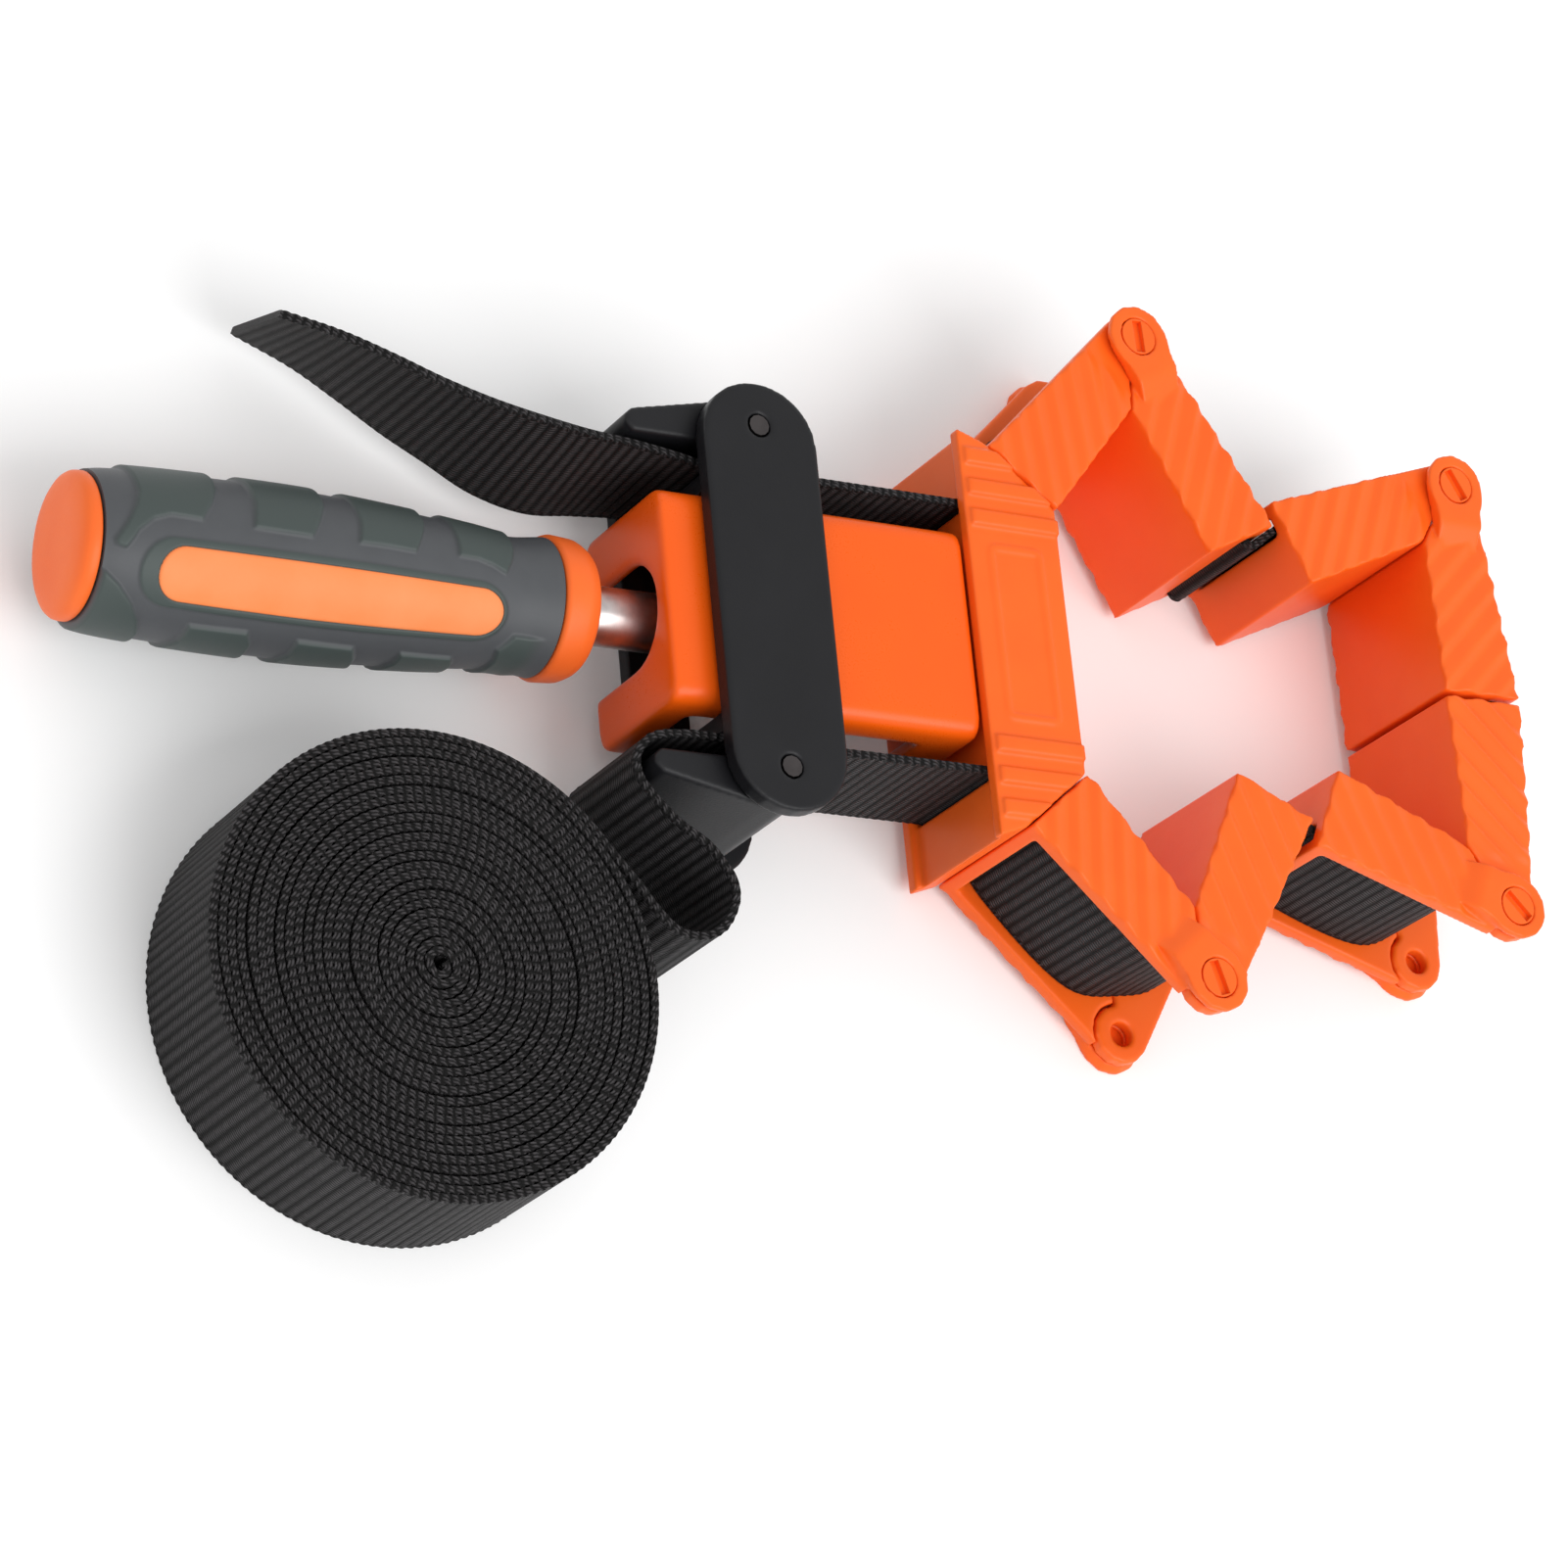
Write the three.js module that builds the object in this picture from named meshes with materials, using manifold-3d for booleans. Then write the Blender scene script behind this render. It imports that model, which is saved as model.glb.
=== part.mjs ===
// Band clamp for picture frames and corners: a webbing band runs from one cam lever, through a front
// block, round four folding corners and back to the other cam lever. A screw with a screwdriver grip
// draws the crosshead that carries both levers, and so tightens the band.
// Millimetres. The origin is at the middle of the block's front face, +X points at the work, +Z is up,
// and the clamp lies on its bottom plate and on the lower ears of its corners.

import * as THREE from 'three';
import { mergeVertices } from 'three/addons/utils/BufferGeometryUtils.js';
import Module from 'manifold-3d';

const wasm = await Module();
wasm.setup();

// Driving dimensions

// Gaps
const fitGap = 0.3;
const cutOverrun = 3;

// Webbing band
const bandWidth = 25;
const bandThickness = 1.2;
const bandEdgeGap = 0.5;
const bandFaceGap = 0.6;

// Shared heights
const sideWall = 2.6;
const plateThickness = 3.5;
const plateGap = 0.75;

// Front block
const blockDepth = 18.9;
const blockRearHalf = 38.4;
const shoulderDepth = 5.4;
const shoulderHalf = 36.5;
const slantDegrees = 40;
const webSetback = 1.5;
const channelRadius = 6;
const socketDepth = 5;
const ridgeHeight = 0.9;
const ridgeWidth = 2.9;
const ridgePitch = 5.9;
const ridgeCount = 3;
const firstRidge = 21.4;
const panelHalf = 16.5;
const panelDepth = 11;
const panelRim = 0.9;
const panelHeight = 0.4;
const panelCorner = 1.5;

// Housing
const housingLength = 61;
const housingHalfWidth = 19.7;
const housingHalfHeight = 14;
const housingWall = 2.6;
const housingRounding = 3;
const archRadius = 9.5;
const crossbarSlotGap = 0.5;

// Screw
const spindleRadius = 5.2;
const journalRadius = 3.5;
const shankLength = 28.4;
const shankRadius = 4.4;
const washerRadius = 7.6;
const washerThickness = 1.2;

// Grip
const gripSetback = 10.6;
const collarLength = 7.3;
const collarRadius = 12.6;
const collarEdge = 0.9;
const collarNoseRadius = 11.7;
const gripLength = 90.4;
const throatRadius = 12;
const neckRadius = 11.3;
const shoulderRadius = 12;
const waistRadius = 12.8;
const bellyRadius = 14;
const swellRadius = 13.6;
const heelRadius = 13.1;
const heelEdgeRadius = 12.7;
const coreRadius = 9.4;
const capThickness = 3;
const capRadius = 12.3;
const capSpigotRadius = 5;
const capSpigotLength = 8;
const inlayWidth = 9;
const inlayLength = 62.5;
const inlaySetback = 18.9;
const inlayTurnDegrees = 35;
const inlaySink = 0.25;
const inlayGap = 0.35;
const padHeight = 0.9;
const padLength = 12;
const padPitch = 18.6;
const padWidth = 22.8;
const padCorner = 3;
const padLean = 3;
const padSetback = 12.6;
const upperPads = 4;
const lowerPads = 3;

// Crosshead
const yokeInset = 18.9;
const slotRearWall = 6.4;
const slotFrontWall = 9.6;
const plateWidth = 22.2;
const plateHalfLength = 39.5;
const crossbarDepth = 10;
const crossbarHeight = 12;
const anvilThickness = 4;
const anvilLength = 18;
const anvilEdge = 0.9;
const leverPinReach = 31.5;
const leverPinRadius = 1.9;

// Cam levers
const camRadius = 5.2;
const camRelief = 1.1;
const camGap = 0.4;
const lobeRadius = 6.5;
const leverLength = 24;
const leverTipThickness = 4.4;
const leverTipReach = 1.9;
const leverSideGap = 0.5;
const camOpenDegrees = 95;
const camStepDegrees = 19;
const camLeadSteps = 6;
const lobeSteps = 6;
const lobeBackShare = 0.94;
const gripDimpleRadius = 0.7;
const gripDimpleDepth = 0.5;
const gripDimplePitch = 2.4;
const gripDimpleCount = 3;

// Folding corners
const halfLength = 41.3;
const closedDegrees = 66;
const workFaceReach = 7.46;
const outerReach = 9.34;
const earRadius = 5.5;
const earSideGap = 0.4;
const cornerWall = 2.5;
const bridgeWidth = 2.3;
const endSlotSpan = 3.6;
const bandSlotReach = 4.6;
const bandSagReach = 5.4;
const bandSagSetback = 7.3;
const bandRiseReach = 2.7;
const bandRiseStart = 12.5;
const bandApexReach = 7.6;
const armInset = 1.15;
const junctionGap = 2.2;
const bendLeadShare = 1.35;
const forkArmReach = 16;
const forkArmRadius = 4;
const pinRadius = 2;
const pinHeadRadius = 3;
const pinHeadThickness = 1.2;
const pinSlotWidth = 1.2;
const pinSlotDepth = 0.7;
const ribPitch = 4.1;
const ribWidth = 2.4;
const ribCrestShare = 0.45;
const ribHeight = 0.5;
const ribDegrees = 50;
const ribStart = 12;

// Roll of spare band
const rollRadius = 41;
const rollLoops = 24;
const rollPitch = 1.64;
const rollSteps = 24;
const rollEntryDegrees = 36;
const rollBack = 62.9;
const rollOut = 68.7;

// Free band: places of its near edge as shares of the band's width, back from the crosshead's middle
// and out from the straight run, with the tail's twist in degrees and the loop's drop to the surface
const tailRouteShares = [
  { back: 0.476, out: 0.024, twist: 0 },
  { back: 0.856, out: 0.08, twist: -5 },
  { back: 1.228, out: 0.112, twist: -9 },
  { back: 1.596, out: 0.168, twist: -7 },
  { back: 1.956, out: 0.236, twist: 0 },
  { back: 2.316, out: 0.332, twist: 5 },
  { back: 2.676, out: 0.452, twist: 10 },
  { back: 3.036, out: 0.556, twist: 15 },
  { back: 3.468, out: 0.636, twist: 20 },
];
const loopRouteShares = [
  { back: 0.42, out: 0, drop: 0 },
  { back: 0.68, out: 0.004, drop: 0 },
  { back: 0.928, out: 0.052, drop: 0.004 },
  { back: 1.048, out: 0.188, drop: 0.016 },
  { back: 1.032, out: 0.332, drop: 0.032 },
  { back: 0.912, out: 0.476, drop: 0.048 },
  { back: 0.736, out: 0.624, drop: 0.068 },
  { back: 0.52, out: 0.748, drop: 0.088 },
  { back: 0.408, out: 0.856, drop: 0.108 },
  { back: 0.328, out: 0.96, drop: 0.128 },
  { back: 0.304, out: 1.076, drop: 0.148 },
  { back: 0.344, out: 1.204, drop: 0.168 },
  { back: 0.432, out: 1.316, drop: 0.184 },
  { back: 0.584, out: 1.364, drop: 0.2 },
  { back: 0.736, out: 1.332, drop: 0.212 },
  { back: 0.872, out: 1.204, drop: 0.22 },
  { back: 1.004, out: 1.024, drop: 0.228 },
];

// Facets of round forms: sides of a full turn, and steps of an outline's arcs
const fineSides = 22;
const mediumSides = 16;
const smallSides = 12;
const earSteps = 4;
const endSteps = 3;
const edgeSteps = 2;

const degree = Math.PI / 180;

// Sizes that follow from the driving dimensions
const sideInner = bandWidth / 2 + bandEdgeGap;
const sideOuter = sideInner + sideWall;
const plateInner = housingHalfHeight + plateGap;
const restHalf = plateInner + plateThickness;
const earPlateInner = sideOuter + fitGap;
const blockFront = 0;
const blockRear = blockFront - blockDepth;
const slant = slantDegrees * degree;
const blockFrontHalf = shoulderHalf - (blockDepth - shoulderDepth) * Math.tan(slant);
const housingFront = blockRear - fitGap;
const housingRear = blockRear - housingLength;
const runReach = leverPinReach - camRadius - camGap - bandThickness / 2;
const yokeCentre = housingRear + yokeInset;
const slotSpan = bandFaceGap * 2 + bandThickness;
const anvilOuter = runReach - bandThickness / 2 - fitGap;
const anvilInner = anvilOuter - anvilThickness;
const closedAngle = closedDegrees * degree;
const bisector = closedAngle / 2;

// Materials
const orangePlastic = new THREE.MeshStandardMaterial({ color: 0xff6e28, roughness: 0.45, metalness: 0 });
const orangeGrip = new THREE.MeshStandardMaterial({ color: 0xff7d37, roughness: 0.5, metalness: 0 });
const greyRubber = new THREE.MeshStandardMaterial({ color: 0x4a504e, roughness: 0.8, metalness: 0 });
const blackPlastic = new THREE.MeshStandardMaterial({ color: 0x2a2a2e, roughness: 0.5, metalness: 0 });
const brightSteel = new THREE.MeshStandardMaterial({ color: 0xc8c8c8, roughness: 0.25, metalness: 1 });
const blackWebbing = new THREE.MeshStandardMaterial({ color: 0x1e1c1c, roughness: 0.9, metalness: 0 });

// Solids

/** The manifold solid of a closed three.js geometry. */
function solidOf(geometry) {
  const bare = geometry.clone();
  bare.deleteAttribute('normal');
  bare.deleteAttribute('uv');
  const merged = mergeVertices(bare);
  const vertProperties = new Float32Array(merged.attributes.position.array);
  const triVerts = new Uint32Array(merged.index.array);
  return new wasm.Manifold(new wasm.Mesh({ numProp: 3, vertProperties, triVerts }));
}

/** A named mesh of a manifold solid. */
function meshOf(name, solid, material) {
  const { vertProperties, triVerts } = solid.getMesh();
  const geometry = new THREE.BufferGeometry();
  geometry.setAttribute('position', new THREE.BufferAttribute(vertProperties, 3));
  geometry.setIndex(new THREE.BufferAttribute(triVerts, 1));
  geometry.computeVertexNormals();
  const mesh = new THREE.Mesh(geometry, material);
  mesh.name = name;
  return mesh;
}

/** A box between two corners. */
function box(x0, x1, y0, y1, z0, z1) {
  const geometry = new THREE.BoxGeometry(x1 - x0, y1 - y0, z1 - z0);
  geometry.translate((x0 + x1) / 2, (y0 + y1) / 2, (z0 + z1) / 2);
  return solidOf(geometry);
}

/** An outline in the XY plane, raised from z0 to z1. */
function prism(shape, z0, z1, curveSegments) {
  const geometry = new THREE.ExtrudeGeometry(shape, {
    depth: z1 - z0,
    bevelEnabled: false,
    curveSegments,
  });
  geometry.translate(0, 0, z0);
  return solidOf(geometry);
}

/** An outline in the YZ plane, drawn out along X from x0 to x1. */
function beam(shape, x0, x1, curveSegments) {
  const geometry = new THREE.ExtrudeGeometry(shape, {
    depth: x1 - x0,
    bevelEnabled: false,
    curveSegments,
  });
  const turn = new THREE.Matrix4().makeBasis(
    new THREE.Vector3(0, 1, 0),
    new THREE.Vector3(0, 0, 1),
    new THREE.Vector3(1, 0, 0),
  );
  geometry.applyMatrix4(turn);
  geometry.translate(x0, 0, 0);
  return solidOf(geometry);
}

/** A round bar along Z. */
function barZ(radius, z0, z1, sides) {
  const geometry = new THREE.CylinderGeometry(radius, radius, z1 - z0, sides);
  geometry.rotateX(Math.PI / 2);
  geometry.translate(0, 0, (z0 + z1) / 2);
  return solidOf(geometry);
}

/** A body turned about the X axis from [x, radius] pairs that start and end on the axis. */
function turned(profile, sides) {
  const points = profile.map(([x, radius]) => new THREE.Vector2(radius, x));
  const geometry = new THREE.LatheGeometry(points, sides);
  geometry.rotateZ(-Math.PI / 2);
  return solidOf(geometry);
}

/** A round bar along X. */
function barX(radius, x0, x1, sides) {
  return turned([[x0, 0], [x0, radius], [x1, radius], [x1, 0]], sides);
}

/** A polygon shape through [x, y] pairs. */
function polygon(points) {
  return new THREE.Shape(points.map(([x, y]) => new THREE.Vector2(x, y)));
}

/** A rectangle with round corners, centred on the origin. */
function roundedRectangle(width, height, radius) {
  const x = width / 2;
  const y = height / 2;
  const shape = new THREE.Shape();
  shape.moveTo(radius - x, -y);
  shape.lineTo(x - radius, -y);
  shape.absarc(x - radius, radius - y, radius, -Math.PI / 2, 0, false);
  shape.lineTo(x, y - radius);
  shape.absarc(x - radius, y - radius, radius, 0, Math.PI / 2, false);
  shape.lineTo(radius - x, y);
  shape.absarc(radius - x, y - radius, radius, Math.PI / 2, Math.PI, false);
  shape.lineTo(-x, radius - y);
  shape.absarc(radius - x, radius - y, radius, Math.PI, Math.PI * 3 / 2, false);
  return shape;
}

/** A flat ribbon through stations, each with its middle, its face direction and its edge direction. */
function ribbon(stations, thickness, width) {
  const positions = [];
  for (const { middle, face, edge } of stations) {
    for (const [up, side] of [[1, 1], [-1, 1], [-1, -1], [1, -1]]) {
      const corner = middle.clone();
      corner.addScaledVector(face, up * thickness / 2);
      corner.addScaledVector(edge, side * width / 2);
      positions.push(corner.x, corner.y, corner.z);
    }
  }
  const index = [];
  const sides = 4;
  const quad = (a, b, c, d) => index.push(a, b, c, a, c, d);
  for (let i = 0; i + 1 < stations.length; i += 1) {
    for (let j = 0; j < sides; j += 1) {
      const next = (j + 1) % sides;
      quad(i * sides + j, i * sides + next, (i + 1) * sides + next, (i + 1) * sides + j);
    }
  }
  const last = (stations.length - 1) * sides;
  quad(3, 2, 1, 0);
  quad(last, last + 1, last + 2, last + 3);
  const geometry = new THREE.BufferGeometry();
  geometry.setAttribute('position', new THREE.Float32BufferAttribute(positions, 3));
  geometry.setIndex(index);
  geometry.computeVertexNormals();
  return geometry;
}

/** Stations of an upright ribbon along points in the XY plane, at one height. */
function uprightStations(points) {
  return points.map((point, i) => {
    const before = points[Math.max(i - 1, 0)];
    const after = points[Math.min(i + 1, points.length - 1)];
    const along = new THREE.Vector3(after.x - before.x, after.y - before.y, 0).normalize();
    return {
      middle: new THREE.Vector3(point.x, point.y, 0),
      face: new THREE.Vector3(-along.y, along.x, 0),
      edge: new THREE.Vector3(0, 0, 1),
    };
  });
}

// Route of the band from the crosshead to the block's slanted face

/** The mirror image of a point across the spindle's upright plane. */
function mirrored(point) {
  return new THREE.Vector2(point.x, -point.y);
}

/** A point given by distances along u and v in a corner half's own plane. */
function inHalf(half, u, v) {
  const angle = half.direction;
  const sideways = angle + half.hand * Math.PI / 2;
  return new THREE.Vector2(
    half.pin.x + u * Math.cos(angle) + v * Math.cos(sideways),
    half.pin.y + u * Math.sin(angle) + v * Math.sin(sideways),
  );
}

// Places of the corners: the first half of corner 1 lies on the block's slanted face, and corner 2
// ends on the middle plane, where it meets corner 3. Corners 3 and 4 stand opposite 2 and 1.
const slantNormal = Math.PI / 2 - slant;
const shoulder = new THREE.Vector2(blockRear + shoulderDepth, shoulderHalf);
const blockHinge = new THREE.Vector2(
  shoulder.x + armInset * Math.cos(slant) + fitGap * Math.cos(slantNormal),
  shoulder.y - armInset * Math.sin(slant) + fitGap * Math.sin(slantNormal),
);
const firstDirection = Math.PI + slantNormal;
const secondDirection = Math.PI * 3 / 2 - closedAngle;

/** The pin that puts a half's outer end corner at a given place. */
function pinFromCorner(place, direction) {
  const half = { pin: new THREE.Vector2(0, 0), direction, hand: 1 };
  const corner = inHalf(half, halfLength, -outerReach);
  return new THREE.Vector2(place.x - corner.x, place.y - corner.y);
}

const firstPin = pinFromCorner(blockHinge, firstDirection);
const firstFork = { pin: firstPin, direction: firstDirection + closedAngle, hand: -1 };
const junctionCorner = inHalf(firstFork, halfLength, -outerReach);
// The open pivot on the middle plane: the swinging half's corner clears the other half's end.
const secondPinHeight = (Math.hypot(halfLength, workFaceReach) + halfLength + fitGap) / 2;
const cornerDrop = junctionCorner.y - secondPinHeight;
const reachAlong = halfLength + junctionGap - cornerDrop * Math.sin(secondDirection);
const secondPin = new THREE.Vector2(
  junctionCorner.x - reachAlong / Math.cos(secondDirection),
  secondPinHeight,
);

const corners = [
  { number: 1, pin: firstPin, direction: firstDirection },
  { number: 2, pin: secondPin, direction: secondDirection },
  { number: 3, pin: mirrored(secondPin), direction: Math.PI / 2 },
  { number: 4, pin: mirrored(firstPin), direction: Math.PI * 2 - firstDirection - closedAngle },
];

/** The two halves of a corner: the tongue half first, the fork half next round the ring. */
function halvesOf({ pin, direction }) {
  return [
    { pin, direction, hand: 1 },
    { pin, direction: direction + closedAngle, hand: -1 },
  ];
}

/** The points of the band from the straight run to the first corner's end slot. */
function blockRoute(start) {
  const exit = inHalf(halvesOf(corners[0])[0], halfLength, -bandSlotReach);
  const turn = slantNormal;
  const meetX = exit.x - (exit.y - runReach) / Math.tan(turn);
  const tangent = channelRadius * Math.tan(turn / 2);
  const arcCentre = new THREE.Vector2(meetX - tangent, runReach + channelRadius);
  const points = [new THREE.Vector2(start, runReach)];
  const arcSteps = 8;
  for (let i = 0; i <= arcSteps; i += 1) {
    const angle = turn * i / arcSteps - Math.PI / 2;
    points.push(new THREE.Vector2(
      arcCentre.x + channelRadius * Math.cos(angle),
      arcCentre.y + channelRadius * Math.sin(angle),
    ));
  }
  return { points, exit };
}

/** The band's way through one corner, from the end of its first half to the end of its second. */
function cornerRoute(corner) {
  const [first, second] = halvesOf(corner);
  const places = [
    [halfLength, bandSlotReach],
    [halfLength - bandSagSetback, bandSagReach],
    [bandRiseStart, bandRiseReach],
  ];
  const middle = bisector + corner.direction;
  const apex = new THREE.Vector2(
    corner.pin.x + bandApexReach * Math.cos(middle),
    corner.pin.y + bandApexReach * Math.sin(middle),
  );
  const through = [
    ...places.map(([u, v]) => inHalf(first, u, -v)),
    apex,
    ...places.map(([u, v]) => inHalf(second, u, -v)).reverse(),
  ];
  const curve = new THREE.CatmullRomCurve3(
    through.map((point) => new THREE.Vector3(point.x, point.y, 0)),
    false,
    'centripetal',
  );
  const steps = 20;
  return curve.getPoints(steps).map((point) => new THREE.Vector2(point.x, point.y));
}

/** The band's bend between the end slots of the first corner and the second. */
function junctionRoute() {
  const fork = halvesOf(corners[0])[1];
  const tongue = halvesOf(corners[1])[0];
  const lead = halfLength + junctionGap * bendLeadShare;
  const bend = new THREE.CubicBezierCurve(
    inHalf(fork, halfLength, -bandSlotReach),
    inHalf(fork, lead, -bandSlotReach),
    inHalf(tongue, lead, -bandSlotReach),
    inHalf(tongue, halfLength, -bandSlotReach),
  );
  const steps = 8;
  return bend.getPoints(steps).slice(1, -1);
}

/** The band's whole way round, from the left side of the crosshead to the right side. */
function circuitRoute(start) {
  const entry = blockRoute(start).points;
  const firstLoop = cornerRoute(corners[0]);
  const secondLoop = cornerRoute(corners[1]);
  const leftSide = [...entry, ...firstLoop, ...junctionRoute(), ...secondLoop];
  const rightSide = leftSide.map(mirrored).reverse();
  return [...leftSide, ...rightSide];
}

// Front block

/** The block's outline seen from above, drawn back or out by an offset along X at its rear. */
function blockOutline(rear) {
  return polygon([
    [rear, -blockRearHalf],
    [shoulder.x, -shoulderHalf],
    [blockFront, -blockFrontHalf],
    [blockFront, blockFrontHalf],
    [shoulder.x, shoulderHalf],
    [rear, blockRearHalf],
  ]);
}

/** The curved channel that leads the band through one side of the block. */
function blockChannel(side) {
  const { points, exit } = blockRoute(blockRear - cutOverrun);
  const heading = slantNormal;
  const outside = new THREE.Vector2(
    exit.x + cutOverrun * Math.cos(heading),
    exit.y + cutOverrun * Math.sin(heading),
  );
  const way = [...points, outside].map((point) => new THREE.Vector2(point.x, point.y * side));
  const stations = uprightStations(side > 0 ? way : way.reverse());
  return solidOf(ribbon(stations, slotSpan, sideInner * 2));
}

/** The front block: a solid web between two side plates, with ridges and a framed blank panel. */
function frontBlock() {
  let solid = prism(blockOutline(blockRear), -sideOuter, sideOuter);
  const rearPocket = box(
    blockRear - cutOverrun,
    blockRear + webSetback,
    -blockRearHalf - cutOverrun,
    blockRearHalf + cutOverrun,
    -sideInner,
    sideInner,
  );
  solid = solid.subtract(rearPocket);
  for (const side of [-1, 1]) {
    solid = solid.subtract(blockChannel(side));
  }
  const socketEnd = blockRear + webSetback + socketDepth;
  solid = solid.subtract(barX(journalRadius + fitGap, blockRear - cutOverrun, socketEnd, mediumSides));
  const ridgeBars = [];
  for (const side of [-1, 1]) {
    for (let i = 0; i < ridgeCount; i += 1) {
      const middle = side * (firstRidge + i * ridgePitch);
      ridgeBars.push([middle - ridgeWidth / 2, middle + ridgeWidth / 2]);
    }
  }
  const ridgeOuter = sideOuter + ridgeHeight;
  const ridgeLimit = prism(blockOutline(blockRear + ridgeHeight), -ridgeOuter, ridgeOuter);
  for (const [low, high] of ridgeBars) {
    for (const face of [-1, 1]) {
      const inner = face * (sideOuter - sideWall / 2);
      const outer = face * ridgeOuter;
      const bar = box(
        blockRear,
        blockFront + cutOverrun,
        low,
        high,
        Math.min(inner, outer),
        Math.max(inner, outer),
      );
      solid = solid.add(bar.intersect(ridgeLimit));
    }
  }
  const rim = roundedRectangle(panelDepth, panelHalf * 2, panelCorner);
  const field = roundedRectangle(panelDepth - panelRim * 2, (panelHalf - panelRim) * 2, panelCorner / 2);
  for (const face of [-1, 1]) {
    const root = face * (sideOuter - panelRim);
    const crest = face * (sideOuter + panelHeight);
    const low = Math.min(root, crest);
    const high = Math.max(root, crest);
    const frame = prism(rim, low, high, edgeSteps).subtract(prism(field, -ridgeOuter, ridgeOuter, edgeSteps));
    solid = solid.add(frame.translate([blockRear + blockDepth / 2, 0, 0]));
  }
  return solid;
}

// Housing

/** The housing: an inverted trough with an arched rear end, open underneath. */
function housing() {
  const section = roundedRectangle(housingHalfWidth * 2, housingHalfHeight * 2, housingRounding);
  let solid = beam(section, housingRear, housingFront, edgeSteps);
  const innerHalf = housingHalfWidth - housingWall;
  const hollow = box(
    housingRear + housingWall,
    housingFront - housingWall,
    -innerHalf,
    innerHalf,
    -housingHalfHeight - cutOverrun,
    housingHalfHeight - housingWall,
  );
  solid = solid.subtract(hollow);
  const archShape = new THREE.Shape();
  archShape.moveTo(-archRadius, -housingHalfHeight - cutOverrun);
  archShape.lineTo(archRadius, -housingHalfHeight - cutOverrun);
  archShape.lineTo(archRadius, 0);
  archShape.absarc(0, 0, archRadius, 0, Math.PI, false);
  const archStart = housingRear - cutOverrun;
  const archEnd = housingRear + housingWall + cutOverrun;
  solid = solid.subtract(beam(archShape, archStart, archEnd, earSteps * 2));
  const slotHalf = crossbarHeight / 2 + crossbarSlotGap;
  const slotRear = housingRear + slotRearWall;
  const slotFront = blockRear - slotFrontWall;
  const slotReach = housingHalfWidth + cutOverrun;
  solid = solid.subtract(box(slotRear, slotFront, -slotReach, slotReach, -slotHalf, slotHalf));
  const journalBore = journalRadius + fitGap;
  const boreStart = housingFront - housingWall - cutOverrun;
  return solid.subtract(barX(journalBore, boreStart, housingFront + cutOverrun, mediumSides));
}

// Screw

/** The spindle: a shank in the grip, a long round bar, and a journal in the block's socket. */
function spindle() {
  const shoulderX = housingFront - housingWall - washerThickness - fitGap * 2;
  const noseX = blockRear + webSetback + socketDepth - fitGap;
  return turned([
    [gripFront - shankLength, 0],
    [gripFront - shankLength, shankRadius],
    [gripFront + fitGap, shankRadius],
    [gripFront + fitGap, spindleRadius],
    [shoulderX, spindleRadius],
    [shoulderX, journalRadius],
    [noseX, journalRadius],
    [noseX, 0],
  ], mediumSides);
}

/** The washer that takes the spindle's thrust against the housing's front wall. */
function thrustWasher() {
  const front = housingFront - housingWall - fitGap;
  const rear = front - washerThickness;
  const disc = barX(washerRadius, rear, front, mediumSides);
  return disc.subtract(barX(journalRadius + fitGap, rear - cutOverrun, front + cutOverrun, mediumSides));
}

// Grip

const gripFront = housingRear - gripSetback;
const sleeveFront = gripFront - collarLength - fitGap;
const sleeveRear = gripFront - gripLength;
const sleeveLength = sleeveFront - sleeveRear;

/** The sleeve's profile from its rear to its front, as [x, radius] pairs, grown by an offset. */
function sleeveProfile(grow) {
  const waypoints = [
    { share: 0, radius: heelEdgeRadius },
    { share: 0.03, radius: heelRadius },
    { share: 0.12, radius: swellRadius },
    { share: 0.45, radius: bellyRadius },
    { share: 0.72, radius: waistRadius },
    { share: 0.83, radius: shoulderRadius },
    { share: 0.92, radius: neckRadius },
    { share: 1, radius: throatRadius },
  ];
  const curve = new THREE.SplineCurve(
    waypoints.map(({ share, radius }) => new THREE.Vector2(sleeveRear + share * sleeveLength, radius)),
  );
  return curve.getPoints(waypoints.length - 1).map((point) => [point.x, point.y + grow]);
}

/** The solid that a profile encloses, closed on the axis at both ends. */
function closedProfile(profile) {
  const first = profile[0];
  const last = profile[profile.length - 1];
  return turned([[first[0], 0], ...profile, [last[0], 0]], fineSides);
}

/** A prism that stands out from the grip's axis to beyond its side, at a turn about the axis. */
function sidePrism(shape, middle, turnDegrees) {
  const reach = bellyRadius + cutOverrun;
  const prismSolid = prism(shape, coreRadius / 2, reach, endSteps);
  return prismSolid.translate([middle, 0, 0]).rotate([turnDegrees, 0, 0]);
}

/** The two windows of the sleeve, where the orange core shows, grown by an offset. */
function inlayPrisms(grow) {
  const width = inlayWidth + grow * 2;
  const shape = roundedRectangle(inlayLength + grow * 2, width, width / 2 - fitGap / 2);
  const middle = gripFront - inlaySetback - inlayLength / 2;
  const halfTurn = 180;
  const upper = sidePrism(shape, middle, inlayTurnDegrees);
  return upper.add(sidePrism(shape, middle, inlayTurnDegrees + halfTurn));
}

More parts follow.
